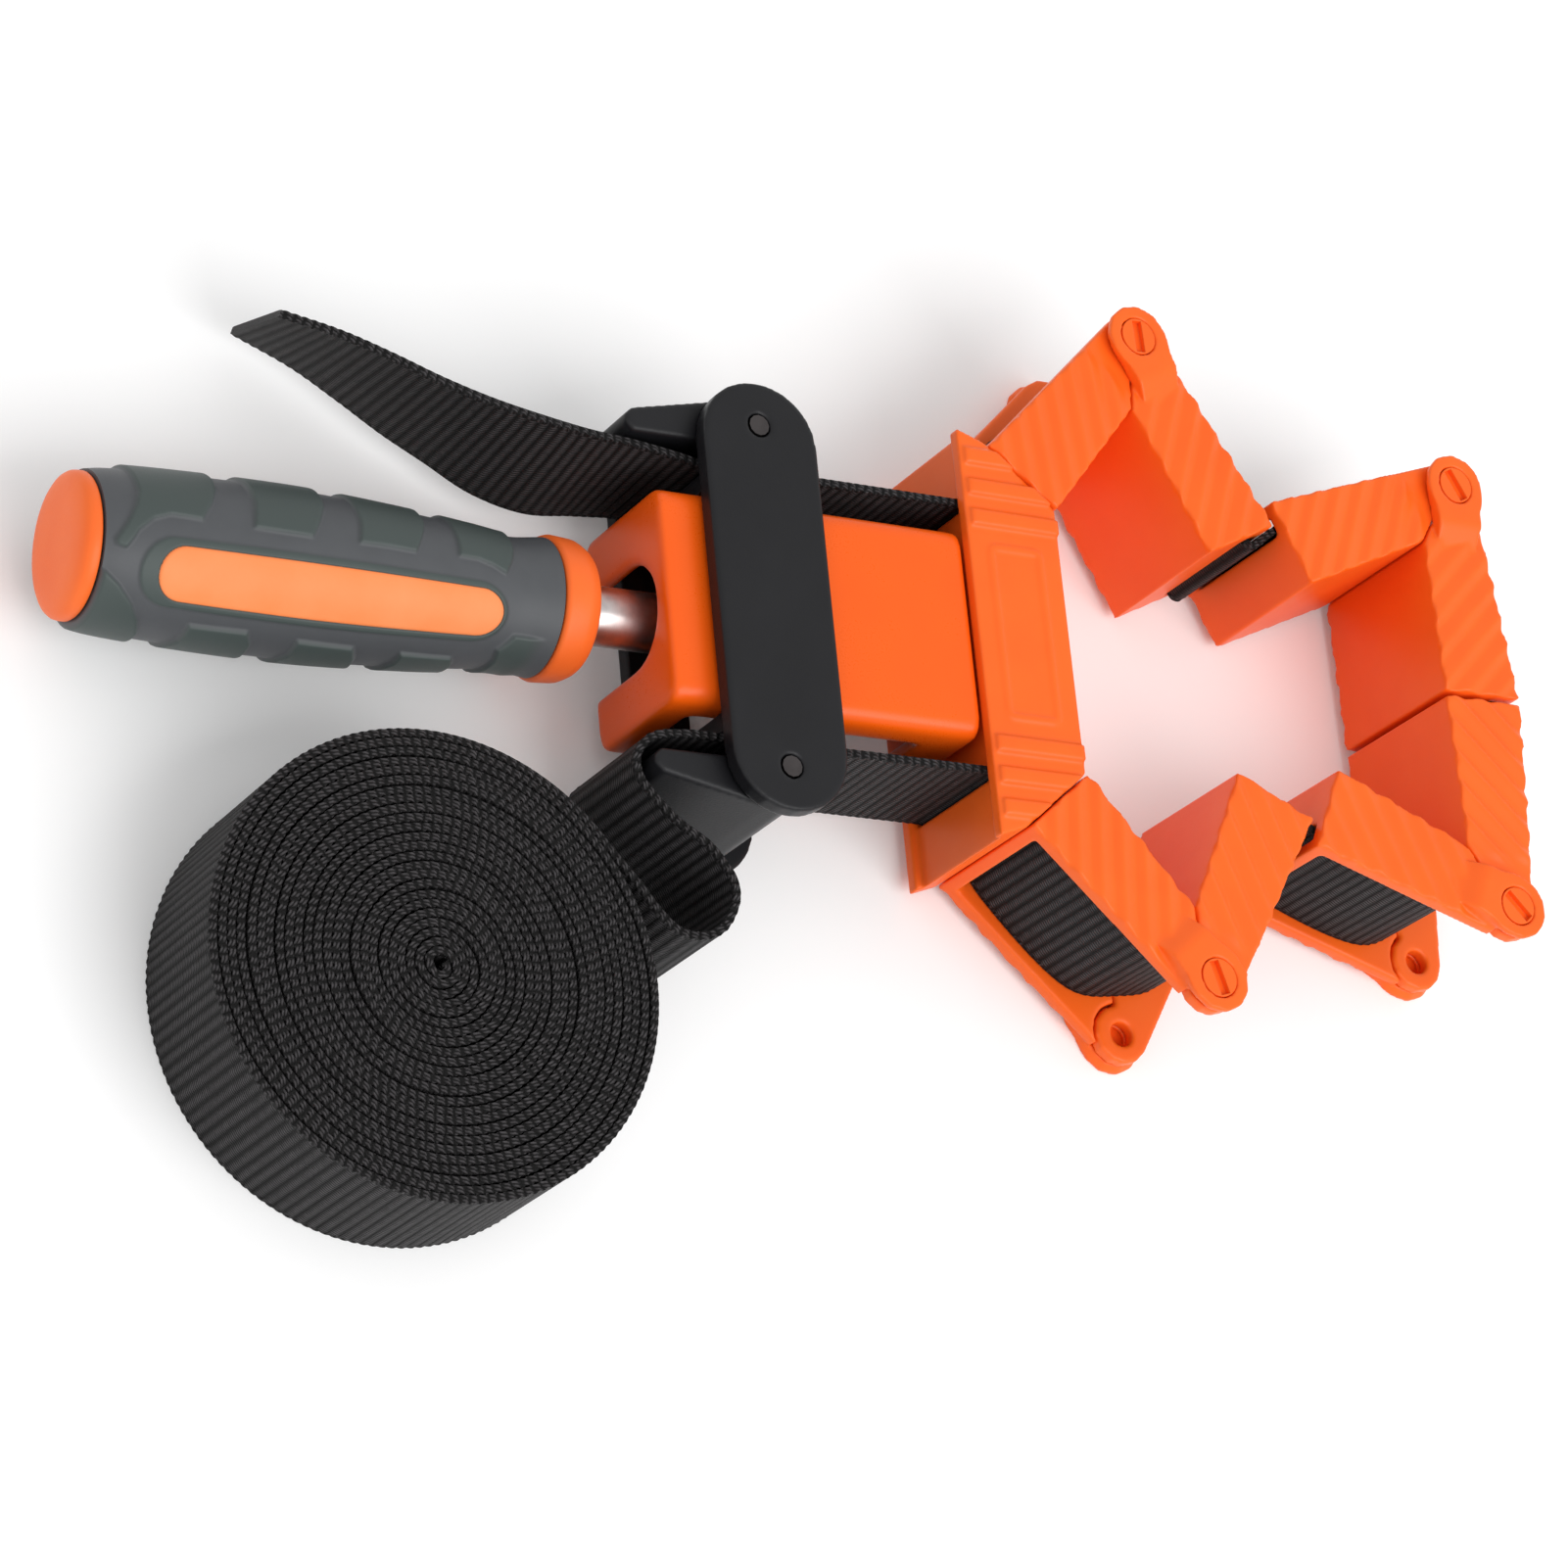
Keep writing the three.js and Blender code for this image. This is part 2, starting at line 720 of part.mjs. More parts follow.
/** The grip's core: a round bar with the collar at its front and the two inlays on its sides. */
function gripCore() {
  const collarRear = gripFront - collarLength;
  let solid = turned([
    [sleeveRear, 0],
    [sleeveRear, coreRadius],
    [collarRear, coreRadius],
    [collarRear, collarRadius - collarEdge],
    [collarRear + collarEdge, collarRadius],
    [gripFront - collarEdge * 2, collarNoseRadius],
    [gripFront, collarNoseRadius - collarEdge * 2],
    [gripFront, 0],
  ], fineSides);
  const inlays = inlayPrisms(0).intersect(closedProfile(sleeveProfile(-inlaySink)));
  solid = solid.add(inlays);
  const shankBore = barX(
    shankRadius + fitGap,
    gripFront - shankLength - fitGap,
    gripFront + cutOverrun,
    smallSides,
  );
  const spigotEnd = sleeveRear + capSpigotLength + fitGap;
  const spigotBore = barX(capSpigotRadius + fitGap, sleeveRear - cutOverrun, spigotEnd, mediumSides);
  return solid.subtract(shankBore).subtract(spigotBore);
}

/** The outline of one raised pad, leaning forward across the grip. */
function padShape() {
  const points = roundedRectangle(padLength, padWidth, padCorner).getPoints(1);
  const leanShare = padLean / padWidth;
  return new THREE.Shape(points.map((point) => {
    return new THREE.Vector2(point.x + point.y * leanShare, point.y);
  }));
}

/** The soft sleeve over the core, with its windows and two rows of raised pads. */
function gripSleeve() {
  const outer = closedProfile(sleeveProfile(0));
  const padLimit = closedProfile(sleeveProfile(padHeight));
  const quarterTurn = 90;
  const rows = [
    { turn: inlayTurnDegrees - quarterTurn, count: upperPads, shift: 0 },
    { turn: inlayTurnDegrees + quarterTurn, count: lowerPads, shift: padPitch / 2 },
  ];
  let solid = outer;
  for (const { turn, count, shift } of rows) {
    for (let i = 0; i < count; i += 1) {
      const middle = sleeveRear + padSetback + shift + i * padPitch;
      solid = solid.add(sidePrism(padShape(), middle, turn).intersect(padLimit));
    }
  }
  const bore = barX(coreRadius + fitGap, sleeveRear - cutOverrun, sleeveFront + cutOverrun, mediumSides);
  return solid.subtract(bore).subtract(inlayPrisms(inlayGap));
}

/** The grip's end cap, with the spigot that plugs it into the core. */
function endCap() {
  const front = sleeveRear - fitGap;
  const rear = front - capThickness;
  const edge = capThickness / 3;
  return turned([
    [rear, 0],
    [rear, capRadius - edge],
    [rear + edge, capRadius],
    [front, capRadius],
    [front, capSpigotRadius],
    [sleeveRear + capSpigotLength, capSpigotRadius],
    [sleeveRear + capSpigotLength, 0],
  ], fineSides);
}

// Crosshead

/** One of the two plates that tie the levers and anvils together. */
function crossheadPlate(face) {
  const shape = roundedRectangle(plateWidth, plateHalfLength * 2, plateWidth / 2 - fitGap / 2);
  const low = Math.min(face * plateInner, face * restHalf);
  const high = Math.max(face * plateInner, face * restHalf);
  let solid = prism(shape, low, high, endSteps);
  for (const side of [-1, 1]) {
    const bore = barZ(leverPinRadius + fitGap, low - cutOverrun, high + cutOverrun, smallSides);
    solid = solid.subtract(bore.translate([0, side * leverPinReach, 0]));
  }
  return solid.translate([yokeCentre, 0, 0]);
}

/** The bar through the housing's side slots, bored for the spindle. */
function crossbar() {
  const half = crossbarDepth / 2;
  const reach = anvilInner - fitGap;
  const solid = box(-half, half, -reach, reach, -crossbarHeight / 2, crossbarHeight / 2);
  const bore = barX(spindleRadius + fitGap, -half - cutOverrun, half + cutOverrun, mediumSides);
  return solid.subtract(bore).translate([yokeCentre, 0, 0]);
}

/** The anvil that backs the band under one cam. */
function anvil(side) {
  const half = anvilLength / 2;
  const height = plateInner - fitGap;
  const shape = polygon([
    [-half, anvilInner],
    [half, anvilInner],
    [half, anvilOuter - anvilEdge],
    [half - anvilEdge, anvilOuter],
    [anvilEdge - half, anvilOuter],
    [-half, anvilOuter - anvilEdge],
  ].map(([x, y]) => [x, y * side]));
  return prism(shape, -height, height).translate([yokeCentre, 0, 0]);
}

/** The riveted pin that one lever turns on. */
function leverPin(side) {
  const height = restHalf - fitGap / 2;
  return barZ(leverPinRadius, -height, height, smallSides).translate([yokeCentre, side * leverPinReach, 0]);
}

/** A cam lever in its closed place: an eccentric hub that presses on the band, and a thumb paddle. */
function camLever(side) {
  const points = [];
  const innerFace = leverTipReach - leverTipThickness;
  const startAngle = -Math.acos(-innerFace / camRadius);
  for (let i = 0; i < camLeadSteps; i += 1) {
    const angle = startAngle * (1 - i / camLeadSteps);
    points.push([camRadius * Math.sin(angle), -camRadius * Math.cos(angle)]);
  }
  const openSteps = camOpenDegrees / camStepDegrees;
  for (let i = 0; i <= openSteps; i += 1) {
    const angle = i * camStepDegrees * degree;
    const radius = camRadius - camRelief * i / openSteps;
    points.push([radius * Math.sin(angle), -radius * Math.cos(angle)]);
  }
  const openAngle = camOpenDegrees * degree;
  for (let i = 1; i <= lobeSteps; i += 1) {
    const angle = openAngle + (Math.PI - openAngle) * i / lobeSteps;
    const radius = camRadius - camRelief + (lobeRadius - camRadius + camRelief) * i / lobeSteps;
    points.push([radius * Math.sin(angle), -radius * Math.cos(angle)]);
  }
  const tipRounding = leverTipThickness / 3;
  points.push([-lobeRadius / 2, lobeRadius * lobeBackShare]);
  points.push([tipRounding - leverLength, leverTipReach]);
  points.push([-leverLength, leverTipReach - tipRounding]);
  points.push([-leverLength, innerFace + tipRounding]);
  points.push([tipRounding - leverLength, innerFace]);
  const height = plateInner - leverSideGap;
  let solid = prism(polygon(points.map(([x, y]) => [x, y * side])), -height, height);
  const bore = barZ(leverPinRadius + fitGap, -height - cutOverrun, height + cutOverrun, smallSides);
  solid = solid.subtract(bore);
  const slope = Math.atan2(lobeRadius - leverTipReach, leverLength);
  for (let row = 0; row < 2; row += 1) {
    for (let i = 0; i < gripDimpleCount; i += 1) {
      const back = leverLength - gripDimplePitch * (i + 1);
      const surface = leverTipReach + (leverLength - back) * Math.tan(slope);
      const dimple = new THREE.SphereGeometry(gripDimpleRadius, smallSides / 2, endSteps);
      dimple.translate(
        -back,
        side * (surface + gripDimpleRadius - gripDimpleDepth),
        (row - 1 / 2) * gripDimplePitch,
      );
      solid = solid.subtract(solidOf(dimple));
    }
  }
  return solid.translate([yokeCentre, side * leverPinReach, 0]);
}

// Folding corners

/** Where the cut between the two halves crosses a line at distance v from a half's axis. */
function cutAt(v) {
  return v / Math.tan(bisector) + fitGap / 2 / Math.sin(bisector);
}

/** The side wall's outline with its round ear, in the half's own plane. */
function halfOutline() {
  const earStart = bisector - Math.asin(fitGap / 2 / earRadius);
  const outerCorner = new THREE.Vector2(halfLength, -outerReach);
  const toTangent = Math.acos(earRadius / outerCorner.length());
  const earEnd = Math.PI * 2 - Math.atan2(outerReach, halfLength) - toTangent;
  const shape = new THREE.Shape();
  shape.moveTo(halfLength, -outerReach);
  shape.lineTo(halfLength, workFaceReach);
  shape.lineTo(cutAt(workFaceReach), workFaceReach);
  shape.absarc(0, 0, earRadius, earStart, earEnd, false);
  return shape;
}

/** The outline of the arm that carries the fork's outer ear: two circles and their tangents. */
function forkArmOutline() {
  const spread = Math.acos((earRadius - forkArmRadius) / forkArmReach);
  const shape = new THREE.Shape();
  shape.absarc(0, 0, earRadius, spread, Math.PI * 2 - spread, false);
  shape.absarc(forkArmReach, 0, forkArmRadius, -spread, spread, false);
  return shape;
}

/** The rounded ribs that lie across one side face. */
function sideRibs() {
  const root = sideOuter - sideWall / 2;
  const section = polygon([
    [-ribWidth / 2, root],
    [ribWidth / 2, root],
    [ribWidth / 2, sideOuter],
    [ribWidth * ribCrestShare / 2, sideOuter + ribHeight],
    [-ribWidth * ribCrestShare / 2, sideOuter + ribHeight],
    [-ribWidth / 2, sideOuter],
  ]);
  const reach = workFaceReach + outerReach;
  const firstPlace = ribStart - ribPitch;
  const lastPlace = halfLength + outerReach / Math.tan(ribDegrees * degree);
  const ribCount = Math.floor((lastPlace - firstPlace) / ribPitch) + 1;
  const bars = [];
  for (let i = 0; i < ribCount; i += 1) {
    const bar = beam(section, -reach, reach).rotate([0, 0, ribDegrees]);
    bars.push(bar.translate([firstPlace + i * ribPitch, 0, 0]));
  }
  const all = wasm.Manifold.union(bars);
  const top = sideOuter + ribHeight + cutOverrun;
  const bounds = box(ribStart, halfLength, -outerReach, workFaceReach, 0, top);
  return all.intersect(prism(halfOutline(), 0, top, earSteps)).intersect(bounds);
}

/** The channel-shaped body that both kinds of half share, with its upper ear in place. */
function halfBody() {
  const outline = halfOutline();
  const wall = prism(outline, sideInner, sideOuter, earSteps);
  const floor = polygon([
    [cutAt(workFaceReach - cornerWall), workFaceReach - cornerWall],
    [halfLength, workFaceReach - cornerWall],
    [halfLength, workFaceReach],
    [cutAt(workFaceReach), workFaceReach],
  ]);
  const base = prism(floor, -sideOuter, sideOuter);
  const endInner = halfLength - cornerWall;
  const slotOuter = outerReach - bridgeWidth;
  const slotInner = slotOuter - endSlotSpan;
  const endWall = box(endInner, halfLength, -outerReach, workFaceReach, -sideOuter, sideOuter);
  const slot = box(
    endInner - cutOverrun,
    halfLength + cutOverrun,
    -slotOuter,
    -slotInner,
    -sideInner,
    sideInner,
  );
  const limit = prism(outline, -sideOuter, sideOuter, earSteps);
  const ribs = sideRibs();
  const side = wall.add(ribs);
  return side
    .add(side.mirror([0, 0, 1]))
    .add(base)
    .add(endWall.intersect(limit).subtract(slot));
}

/** The half whose ears lie in the line of its side walls. */
function tongueHalf() {
  const reach = sideOuter + cutOverrun;
  return halfBody().subtract(barZ(pinRadius + fitGap, -reach, reach, smallSides));
}

/** The half whose ears lie outside the tongue's, each on an arm raised from the side wall. */
function forkHalf() {
  const armRoot = sideOuter - sideWall / 2;
  const arm = forkArmOutline();
  const raised = prism(arm, earPlateInner, restHalf, endSteps);
  const footing = prism(arm, armRoot, earPlateInner + fitGap, endSteps);
  const seat = footing.intersect(prism(halfOutline(), armRoot, earPlateInner + fitGap, earSteps));
  const relief = barZ(earRadius + earSideGap, sideInner - cutOverrun, earPlateInner, mediumSides);
  const sunkHead = restHalf - pinHeadThickness - fitGap;
  const bore = barZ(pinRadius + fitGap, sideInner - cutOverrun, restHalf + cutOverrun, smallSides);
  const counterbore = barZ(pinHeadRadius + fitGap, sunkHead, restHalf + cutOverrun, smallSides);
  const upper = seat.add(raised);
  const lower = upper.mirror([0, 0, 1]);
  const cuts = relief.add(bore).add(counterbore);
  return halfBody()
    .add(upper)
    .add(lower)
    .subtract(cuts)
    .subtract(cuts.mirror([0, 0, 1]));
}

/** A short hinge pin with a slotted head, in a fork's ear and a tongue's ear. */
function hingePin(face) {
  const headTop = restHalf - fitGap / 2;
  const headBottom = restHalf - pinHeadThickness;
  const shaft = barZ(pinRadius, sideInner, headTop, smallSides);
  const head = barZ(pinHeadRadius, headBottom, headTop, smallSides);
  const slot = box(
    -pinHeadRadius - cutOverrun,
    pinHeadRadius + cutOverrun,
    -pinSlotWidth / 2,
    pinSlotWidth / 2,
    headTop - pinSlotDepth,
    headTop + cutOverrun,
  );
  const pin = shaft.add(head).subtract(slot);
  return face > 0 ? pin : pin.mirror([0, 0, 1]);
}

/** The four pieces of one corner, placed on its pin. */
function cornerAssembly(corner) {
  const group = new THREE.Group();
  const [tongue, fork] = halvesOf(corner);
  const name = `corner_${corner.number}`;
  const tongueMesh = meshOf(`${name}_tongue`, tongueHalf(), orangePlastic);
  tongueMesh.rotation.z = tongue.direction;
  const forkMesh = meshOf(`${name}_fork`, forkHalf().mirror([0, 1, 0]), orangePlastic);
  forkMesh.rotation.z = fork.direction;
  const topPin = meshOf(`${name}_pin_top`, hingePin(1), orangePlastic);
  const bottomPin = meshOf(`${name}_pin_bottom`, hingePin(-1), orangePlastic);
  group.add(tongueMesh, forkMesh, topPin, bottomPin);
  group.position.set(corner.pin.x, corner.pin.y, 0);
  return group;
}

// Webbing

/** A webbing mesh through stations. */
function webbing(name, stations) {
  const mesh = new THREE.Mesh(ribbon(stations, bandThickness, bandWidth), blackWebbing);
  mesh.name = name;
  return mesh;
}

/** The stretch of the band from the left anvil round all corners to the right anvil. */
function bandCircuit() {
  const start = yokeCentre + anvilLength / 2 + fitGap;
  return webbing('band_circuit', uprightStations(circuitRoute(start)));
}

/** Stations of a free stretch whose near edge follows a curve through chosen places. */
function freeStations(route, side, steps) {
  const half = anvilLength / 2;
  const places = [
    { back: -half, out: runReach, turn: 0, drop: 0 },
    { back: half, out: runReach, turn: 0, drop: 0 },
    ...route,
  ];
  const edgeCurve = new THREE.CatmullRomCurve3(
    places.map(({ back, out }) => new THREE.Vector3(yokeCentre - back, side * out, 0)),
    false,
    'centripetal',
  );
  const trendCurve = new THREE.CatmullRomCurve3(
    places.map(({ turn, drop }) => new THREE.Vector3(turn, drop, 0)),
    false,
    'centripetal',
  );
  const stations = [];
  const up = new THREE.Vector3(0, 0, 1);
  for (let i = 0; i <= steps; i += 1) {
    const share = i / steps;
    const near = edgeCurve.getPoint(share);
    const trend = trendCurve.getPoint(share);
    const along = edgeCurve.getTangent(share);
    const turn = trend.x * degree;
    const across = new THREE.Vector3(along.y, -along.x, 0);
    const edge = up.clone().multiplyScalar(Math.cos(turn)).addScaledVector(across, -Math.sin(turn));
    near.z = bandWidth / 2 - trend.y;
    stations.push({
      middle: near.addScaledVector(edge, -bandWidth / 2),
      face: edge.clone().cross(along),
      edge,
    });
  }
  return stations;
}

/** The places of a free stretch of band in lengths, from its shares of the band's width. */
function routePlaces(shares) {
  return shares.map(({ back, out, twist = 0, drop = 0 }) => ({
    back: back * bandWidth,
    out: runReach + out * bandWidth,
    turn: twist,
    drop: drop * bandWidth,
  }));
}

/** The free tail, from the left cam out beyond the grip's side. */
function bandTail() {
  const steps = 32;
  return webbing('band_tail', freeStations(routePlaces(tailRouteShares), 1, steps));
}

// Roll of spare band

const rollCentre = new THREE.Vector2(yokeCentre - rollBack, -rollOut);
const rollHeight = bandWidth / 2 - restHalf;
const rollEntry = rollEntryDegrees * degree;

/** The middle of the roll's band at a share of its winding, counted from outside. */
function rollPoint(turns) {
  const radius = rollRadius - bandThickness / 2 - rollPitch * turns;
  const angle = rollEntry + turns * Math.PI * 2;
  return new THREE.Vector3(
    rollCentre.x + radius * Math.cos(angle),
    rollCentre.y + radius * Math.sin(angle),
    rollHeight,
  );
}

/** Stations of the roll's band, from its entry in to the middle. */
function rollStations() {
  const stations = [];
  const count = rollLoops * rollSteps;
  for (let i = 0; i <= count; i += 1) {
    const turns = i / rollSteps;
    const angle = rollEntry + turns * Math.PI * 2;
    stations.push({
      middle: rollPoint(turns),
      face: new THREE.Vector3(-Math.cos(angle), -Math.sin(angle), 0),
      edge: new THREE.Vector3(0, 0, 1),
    });
  }
  return stations;
}

/** The least distance between the faces of neighbouring turns, measured on the ribbon's points. */
function leastRollGap(stations) {
  const reach = bandThickness / 2;
  const outer = stations.map(({ middle, face }) => middle.clone().addScaledVector(face, -reach));
  const inner = stations.map(({ middle, face }) => middle.clone().addScaledVector(face, reach));
  let least = Infinity;
  for (let i = 0; i < stations.length; i += 1) {
    for (let j = i + rollSteps / 2; j < stations.length; j += 1) {
      least = Math.min(least, inner[i].distanceTo(outer[j]));
    }
  }
  return least;
}

/** The roll of spare band that lies beside the grip. */
function bandRoll() {
  const stations = rollStations();
  console.log(`least gap between the turns of the roll: ${leastRollGap(stations).toFixed(2)} mm`);
  return webbing('band_roll', stations);
}

/** The loop of band between the right cam and the roll, which it meets on a tangent. */
function bandLoop() {
  const entry = rollPoint(0);
  const along = new THREE.Vector3(-Math.sin(rollEntry), Math.cos(rollEntry), 0);
  const end = entry.clone().addScaledVector(along, -fitGap);
  const route = [
    ...routePlaces(loopRouteShares),
    { back: yokeCentre - end.x, out: -end.y, turn: 0, drop: -rollHeight },
  ];
  const steps = 44;
  return webbing('band_loop', freeStations(route, -1, steps));
}

// The clamp

const clamp = new THREE.Group();
clamp.name = 'frame_band_clamp';

clamp.add(
  meshOf('front_block', frontBlock(), orangePlastic),
  meshOf('housing', housing(), orangePlastic),
  meshOf('spindle', spindle(), brightSteel),
  meshOf('thrust_washer', thrustWasher(), brightSteel),
  meshOf('grip_core', gripCore(), orangeGrip),
  meshOf('grip_overmould', gripSleeve(), greyRubber),
  meshOf('end_cap', endCap(), orangeGrip),
  meshOf('top_plate', crossheadPlate(1), blackPlastic),
  meshOf('bottom_plate', crossheadPlate(-1), blackPlastic),
  meshOf('crossbar', crossbar(), brightSteel),
);

for (const [name, side] of [['left', 1], ['right', -1]]) {
  clamp.add(
    meshOf(`anvil_${name}`, anvil(side), blackPlastic),
    meshOf(`lever_pin_${name}`, leverPin(side), brightSteel),
    meshOf(`lever_${name}`, camLever(side), blackPlastic),
  );
}

for (const corner of corners) {
  clamp.add(cornerAssembly(corner));
}

clamp.add(bandCircuit(), bandTail(), bandLoop(), bandRoll());

export default clamp;
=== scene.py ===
"""A frame band clamp: screw tensioner, cam levers, folding corners and a roll of ribbed webbing.

The clamp lies flat with +Z up. +X runs from the grip to the work. Lengths are in metres, and the
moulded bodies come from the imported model; this script gives them their finish, turns the round
grip at full smoothness, weaves the band and lights the set.
"""

import logging
import math
from dataclasses import dataclass, field
from enum import Enum
from typing import Callable, Iterable, Sequence

import bmesh
import bpy
from mathutils import Matrix, Vector

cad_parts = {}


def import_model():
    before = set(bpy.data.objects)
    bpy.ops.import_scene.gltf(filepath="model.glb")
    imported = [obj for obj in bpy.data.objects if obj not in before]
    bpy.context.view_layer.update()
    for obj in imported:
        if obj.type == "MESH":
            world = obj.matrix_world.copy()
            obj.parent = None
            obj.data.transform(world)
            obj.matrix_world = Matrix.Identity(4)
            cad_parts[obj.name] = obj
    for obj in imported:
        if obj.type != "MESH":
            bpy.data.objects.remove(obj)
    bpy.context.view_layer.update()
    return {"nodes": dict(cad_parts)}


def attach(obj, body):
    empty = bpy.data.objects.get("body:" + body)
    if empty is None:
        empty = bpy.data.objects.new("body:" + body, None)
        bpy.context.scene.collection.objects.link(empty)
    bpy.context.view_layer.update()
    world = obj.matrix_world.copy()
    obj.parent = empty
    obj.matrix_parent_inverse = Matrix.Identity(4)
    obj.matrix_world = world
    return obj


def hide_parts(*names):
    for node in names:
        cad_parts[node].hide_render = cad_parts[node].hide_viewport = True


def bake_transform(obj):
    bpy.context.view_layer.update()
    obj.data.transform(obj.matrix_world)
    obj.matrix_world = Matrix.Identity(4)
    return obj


log = logging.getLogger("band_clamp")

MM = 0.001
FULL_TURN = 2 * math.pi


class Side(Enum):
    """The clamp's two sides, seen from the grip: left is +Y."""

    LEFT = 1
    RIGHT = -1


# Shader maths


class Graph:
    """The node tree of one material or world, with a single way of adding a node."""

    def __init__(self, owner: bpy.types.Material | bpy.types.World) -> None:
        """Empties the owner's tree.

        Args:
            owner: The material or world to build.
        """
        owner.use_nodes = True
        self.owner = owner
        self.tree = owner.node_tree
        self.tree.nodes.clear()

    def node(self, kind: str, settings: dict | None = None, **inputs: object) -> bpy.types.Node:
        """Adds a node.

        Args:
            kind: The node's type.
            settings: Properties to set before the inputs.
            inputs: Values or sockets by input name, with underscores for spaces.

        Returns:
            The new node.
        """
        made = self.tree.nodes.new(kind)
        for name, value in (settings or {}).items():
            setattr(made, name, value)
        for name, value in inputs.items():
            self.feed(made.inputs[name.replace("_", " ")], value)
        return made

    def feed(self, socket: bpy.types.NodeSocket, value: object) -> None:
        """Links or sets one input."""
        if isinstance(value, Number):
            value = value.socket
        if isinstance(value, bpy.types.NodeSocket):
            self.tree.links.new(value, socket)
        else:
            socket.default_value = value

    def number(self, socket: bpy.types.NodeSocket) -> "Number":
        """Wraps a socket so that it can be used in an expression."""
        return Number(self, socket)

    def mix(self, factor: object, first: object, second: object) -> bpy.types.NodeSocket:
        """Mixes two colours."""
        made = self.node("ShaderNodeMix", {"data_type": "RGBA"})
        self.feed(made.inputs["Factor"], factor)
        self.feed(made.inputs[6], first)
        self.feed(made.inputs[7], second)
        return made.outputs[2]

    def noise(self, scale: float, detail: float = 3.0, place: object = None) -> "Number":
        """Noise on the object's own coordinates, from 0 to 1."""
        if place is None:
            place = self.node("ShaderNodeTexCoord").outputs["Object"]
        made = self.node("ShaderNodeTexNoise", Vector=place, Scale=scale, Detail=detail)
        return self.number(made.outputs["Fac"])

    def bump(self, height: object, distance: float, strength: float = 1.0,
             normal: object = None) -> bpy.types.NodeSocket:
        """A bump of a height field, in metres."""
        made = self.node("ShaderNodeBump", Height=height, Distance=distance, Strength=strength)
        if normal is not None:
            self.feed(made.inputs["Normal"], normal)
        return made.outputs["Normal"]

    def finish(self, colour: object, roughness: object, normal: object, **constants: object) -> bpy.types.Material:
        """Ends the tree in a Principled surface and returns its material."""
        surface = self.node("ShaderNodeBsdfPrincipled", Base_Color=colour, Roughness=roughness, Normal=normal,
                            **constants)
        self.node("ShaderNodeOutputMaterial", Surface=surface.outputs["BSDF"])
        return self.owner


class Number:
    """A number that varies over a surface, written in expressions like any other."""

    def __init__(self, graph: Graph, socket: bpy.types.NodeSocket) -> None:
        """Keeps the socket and its graph."""
        self.graph = graph
        self.socket = socket

    def _math(self, operation: str, *values: object, clamp: bool = False) -> "Number":
        """Adds one Math node."""
        made = self.graph.node("ShaderNodeMath", {"operation": operation, "use_clamp": clamp})
        for place, value in enumerate(values):
            self.graph.feed(made.inputs[place], value)
        return Number(self.graph, made.outputs[0])

    def __add__(self, other: object) -> "Number":
        """Sum."""
        return self._math("ADD", self, other)

    __radd__ = __add__

    def __sub__(self, other: object) -> "Number":
        """Difference."""
        return self._math("SUBTRACT", self, other)

    def __rsub__(self, other: object) -> "Number":
        """Difference from a plain number."""
        return self._math("SUBTRACT", other, self)

    def __mul__(self, other: object) -> "Number":
        """Product."""
        return self._math("MULTIPLY", self, other)

    __rmul__ = __mul__

    def __truediv__(self, other: object) -> "Number":
        """Quotient."""
        return self._math("DIVIDE", self, other)

    def absolute(self) -> "Number":
        """Size without sign."""
        return self._math("ABSOLUTE", self)

    def sine(self) -> "Number":
        """Sine."""
        return self._math("SINE", self)

    def power(self, exponent: float) -> "Number":
        """Power."""
        return self._math("POWER", self, exponent)

    def unit(self) -> "Number":
        """Held between 0 and 1."""
        return self._math("ADD", self, 0.0, clamp=True)


def linear(red: int, green: int, blue: int) -> tuple[float, float, float]:
    """Linear light of a colour written in 0 to 255 steps."""
    return tuple((c / 255 / 12.92) if c < 10 else ((c / 255 + 0.055) / 1.055) ** 2.4 for c in (red, green, blue))


# Finishes


@dataclass(frozen=True)
class MouldedPlastic:
    """Injection-moulded plastic: an even colour, a faint cloudiness and a fine moulded grain."""

    name: str
    colour: tuple[float, float, float]
    cloud: tuple[float, float, float]
    roughness: float = 0.38
    grain: float = 0.03 * MM
    grain_scale: float = 2600.0
    edge: float = 0.35 * MM
    gloss: float = 0.3

    def material(self) -> bpy.types.Material:
        """Builds the material."""
        graph = Graph(bpy.data.materials.new(self.name))
        cloud = graph.noise(90.0, 4.0)
        fine = graph.noise(self.grain_scale, 2.0)
        colour = graph.mix((cloud - 0.35) * 1.6, (*self.colour, 1.0), (*self.cloud, 1.0))
        soft = graph.node("ShaderNodeBevel", {"samples": 6}, Radius=self.edge).outputs["Normal"]
        normal = graph.bump(fine, self.grain, 0.5, soft)
        roughness = self.roughness + (fine - 0.5) * 0.12 + (cloud - 0.5) * 0.1
        return graph.finish(colour, roughness, normal, Specular_IOR_Level=self.gloss)


@dataclass(frozen=True)
class TurnedSteel:
    """Bright turned steel with fine rings round the bar and a little wear."""

    name: str = "turned_steel"
    colour: tuple[float, float, float] = (0.7, 0.69, 0.68)
    ring_pitch: float = 0.35 * MM
    roughness: float = 0.24

    def material(self) -> bpy.types.Material:
        """Builds the material."""
        graph = Graph(bpy.data.materials.new(self.name))
        place = graph.node("ShaderNodeTexCoord").outputs["Object"]
        along = graph.number(graph.node("ShaderNodeSeparateXYZ", Vector=place).outputs["X"])
        wear = graph.noise(420.0, 5.0)
        rings = (along * (FULL_TURN / self.ring_pitch) + wear * 4.0).sine()
        dark = tuple(c * 0.55 for c in self.colour)
        colour = graph.mix((wear - 0.4) * 1.5, (*self.colour, 1.0), (*dark, 1.0))
        return graph.finish(colour, wear * 0.16 + self.roughness, graph.bump(rings, 0.01 * MM, 0.4), Metallic=1.0)


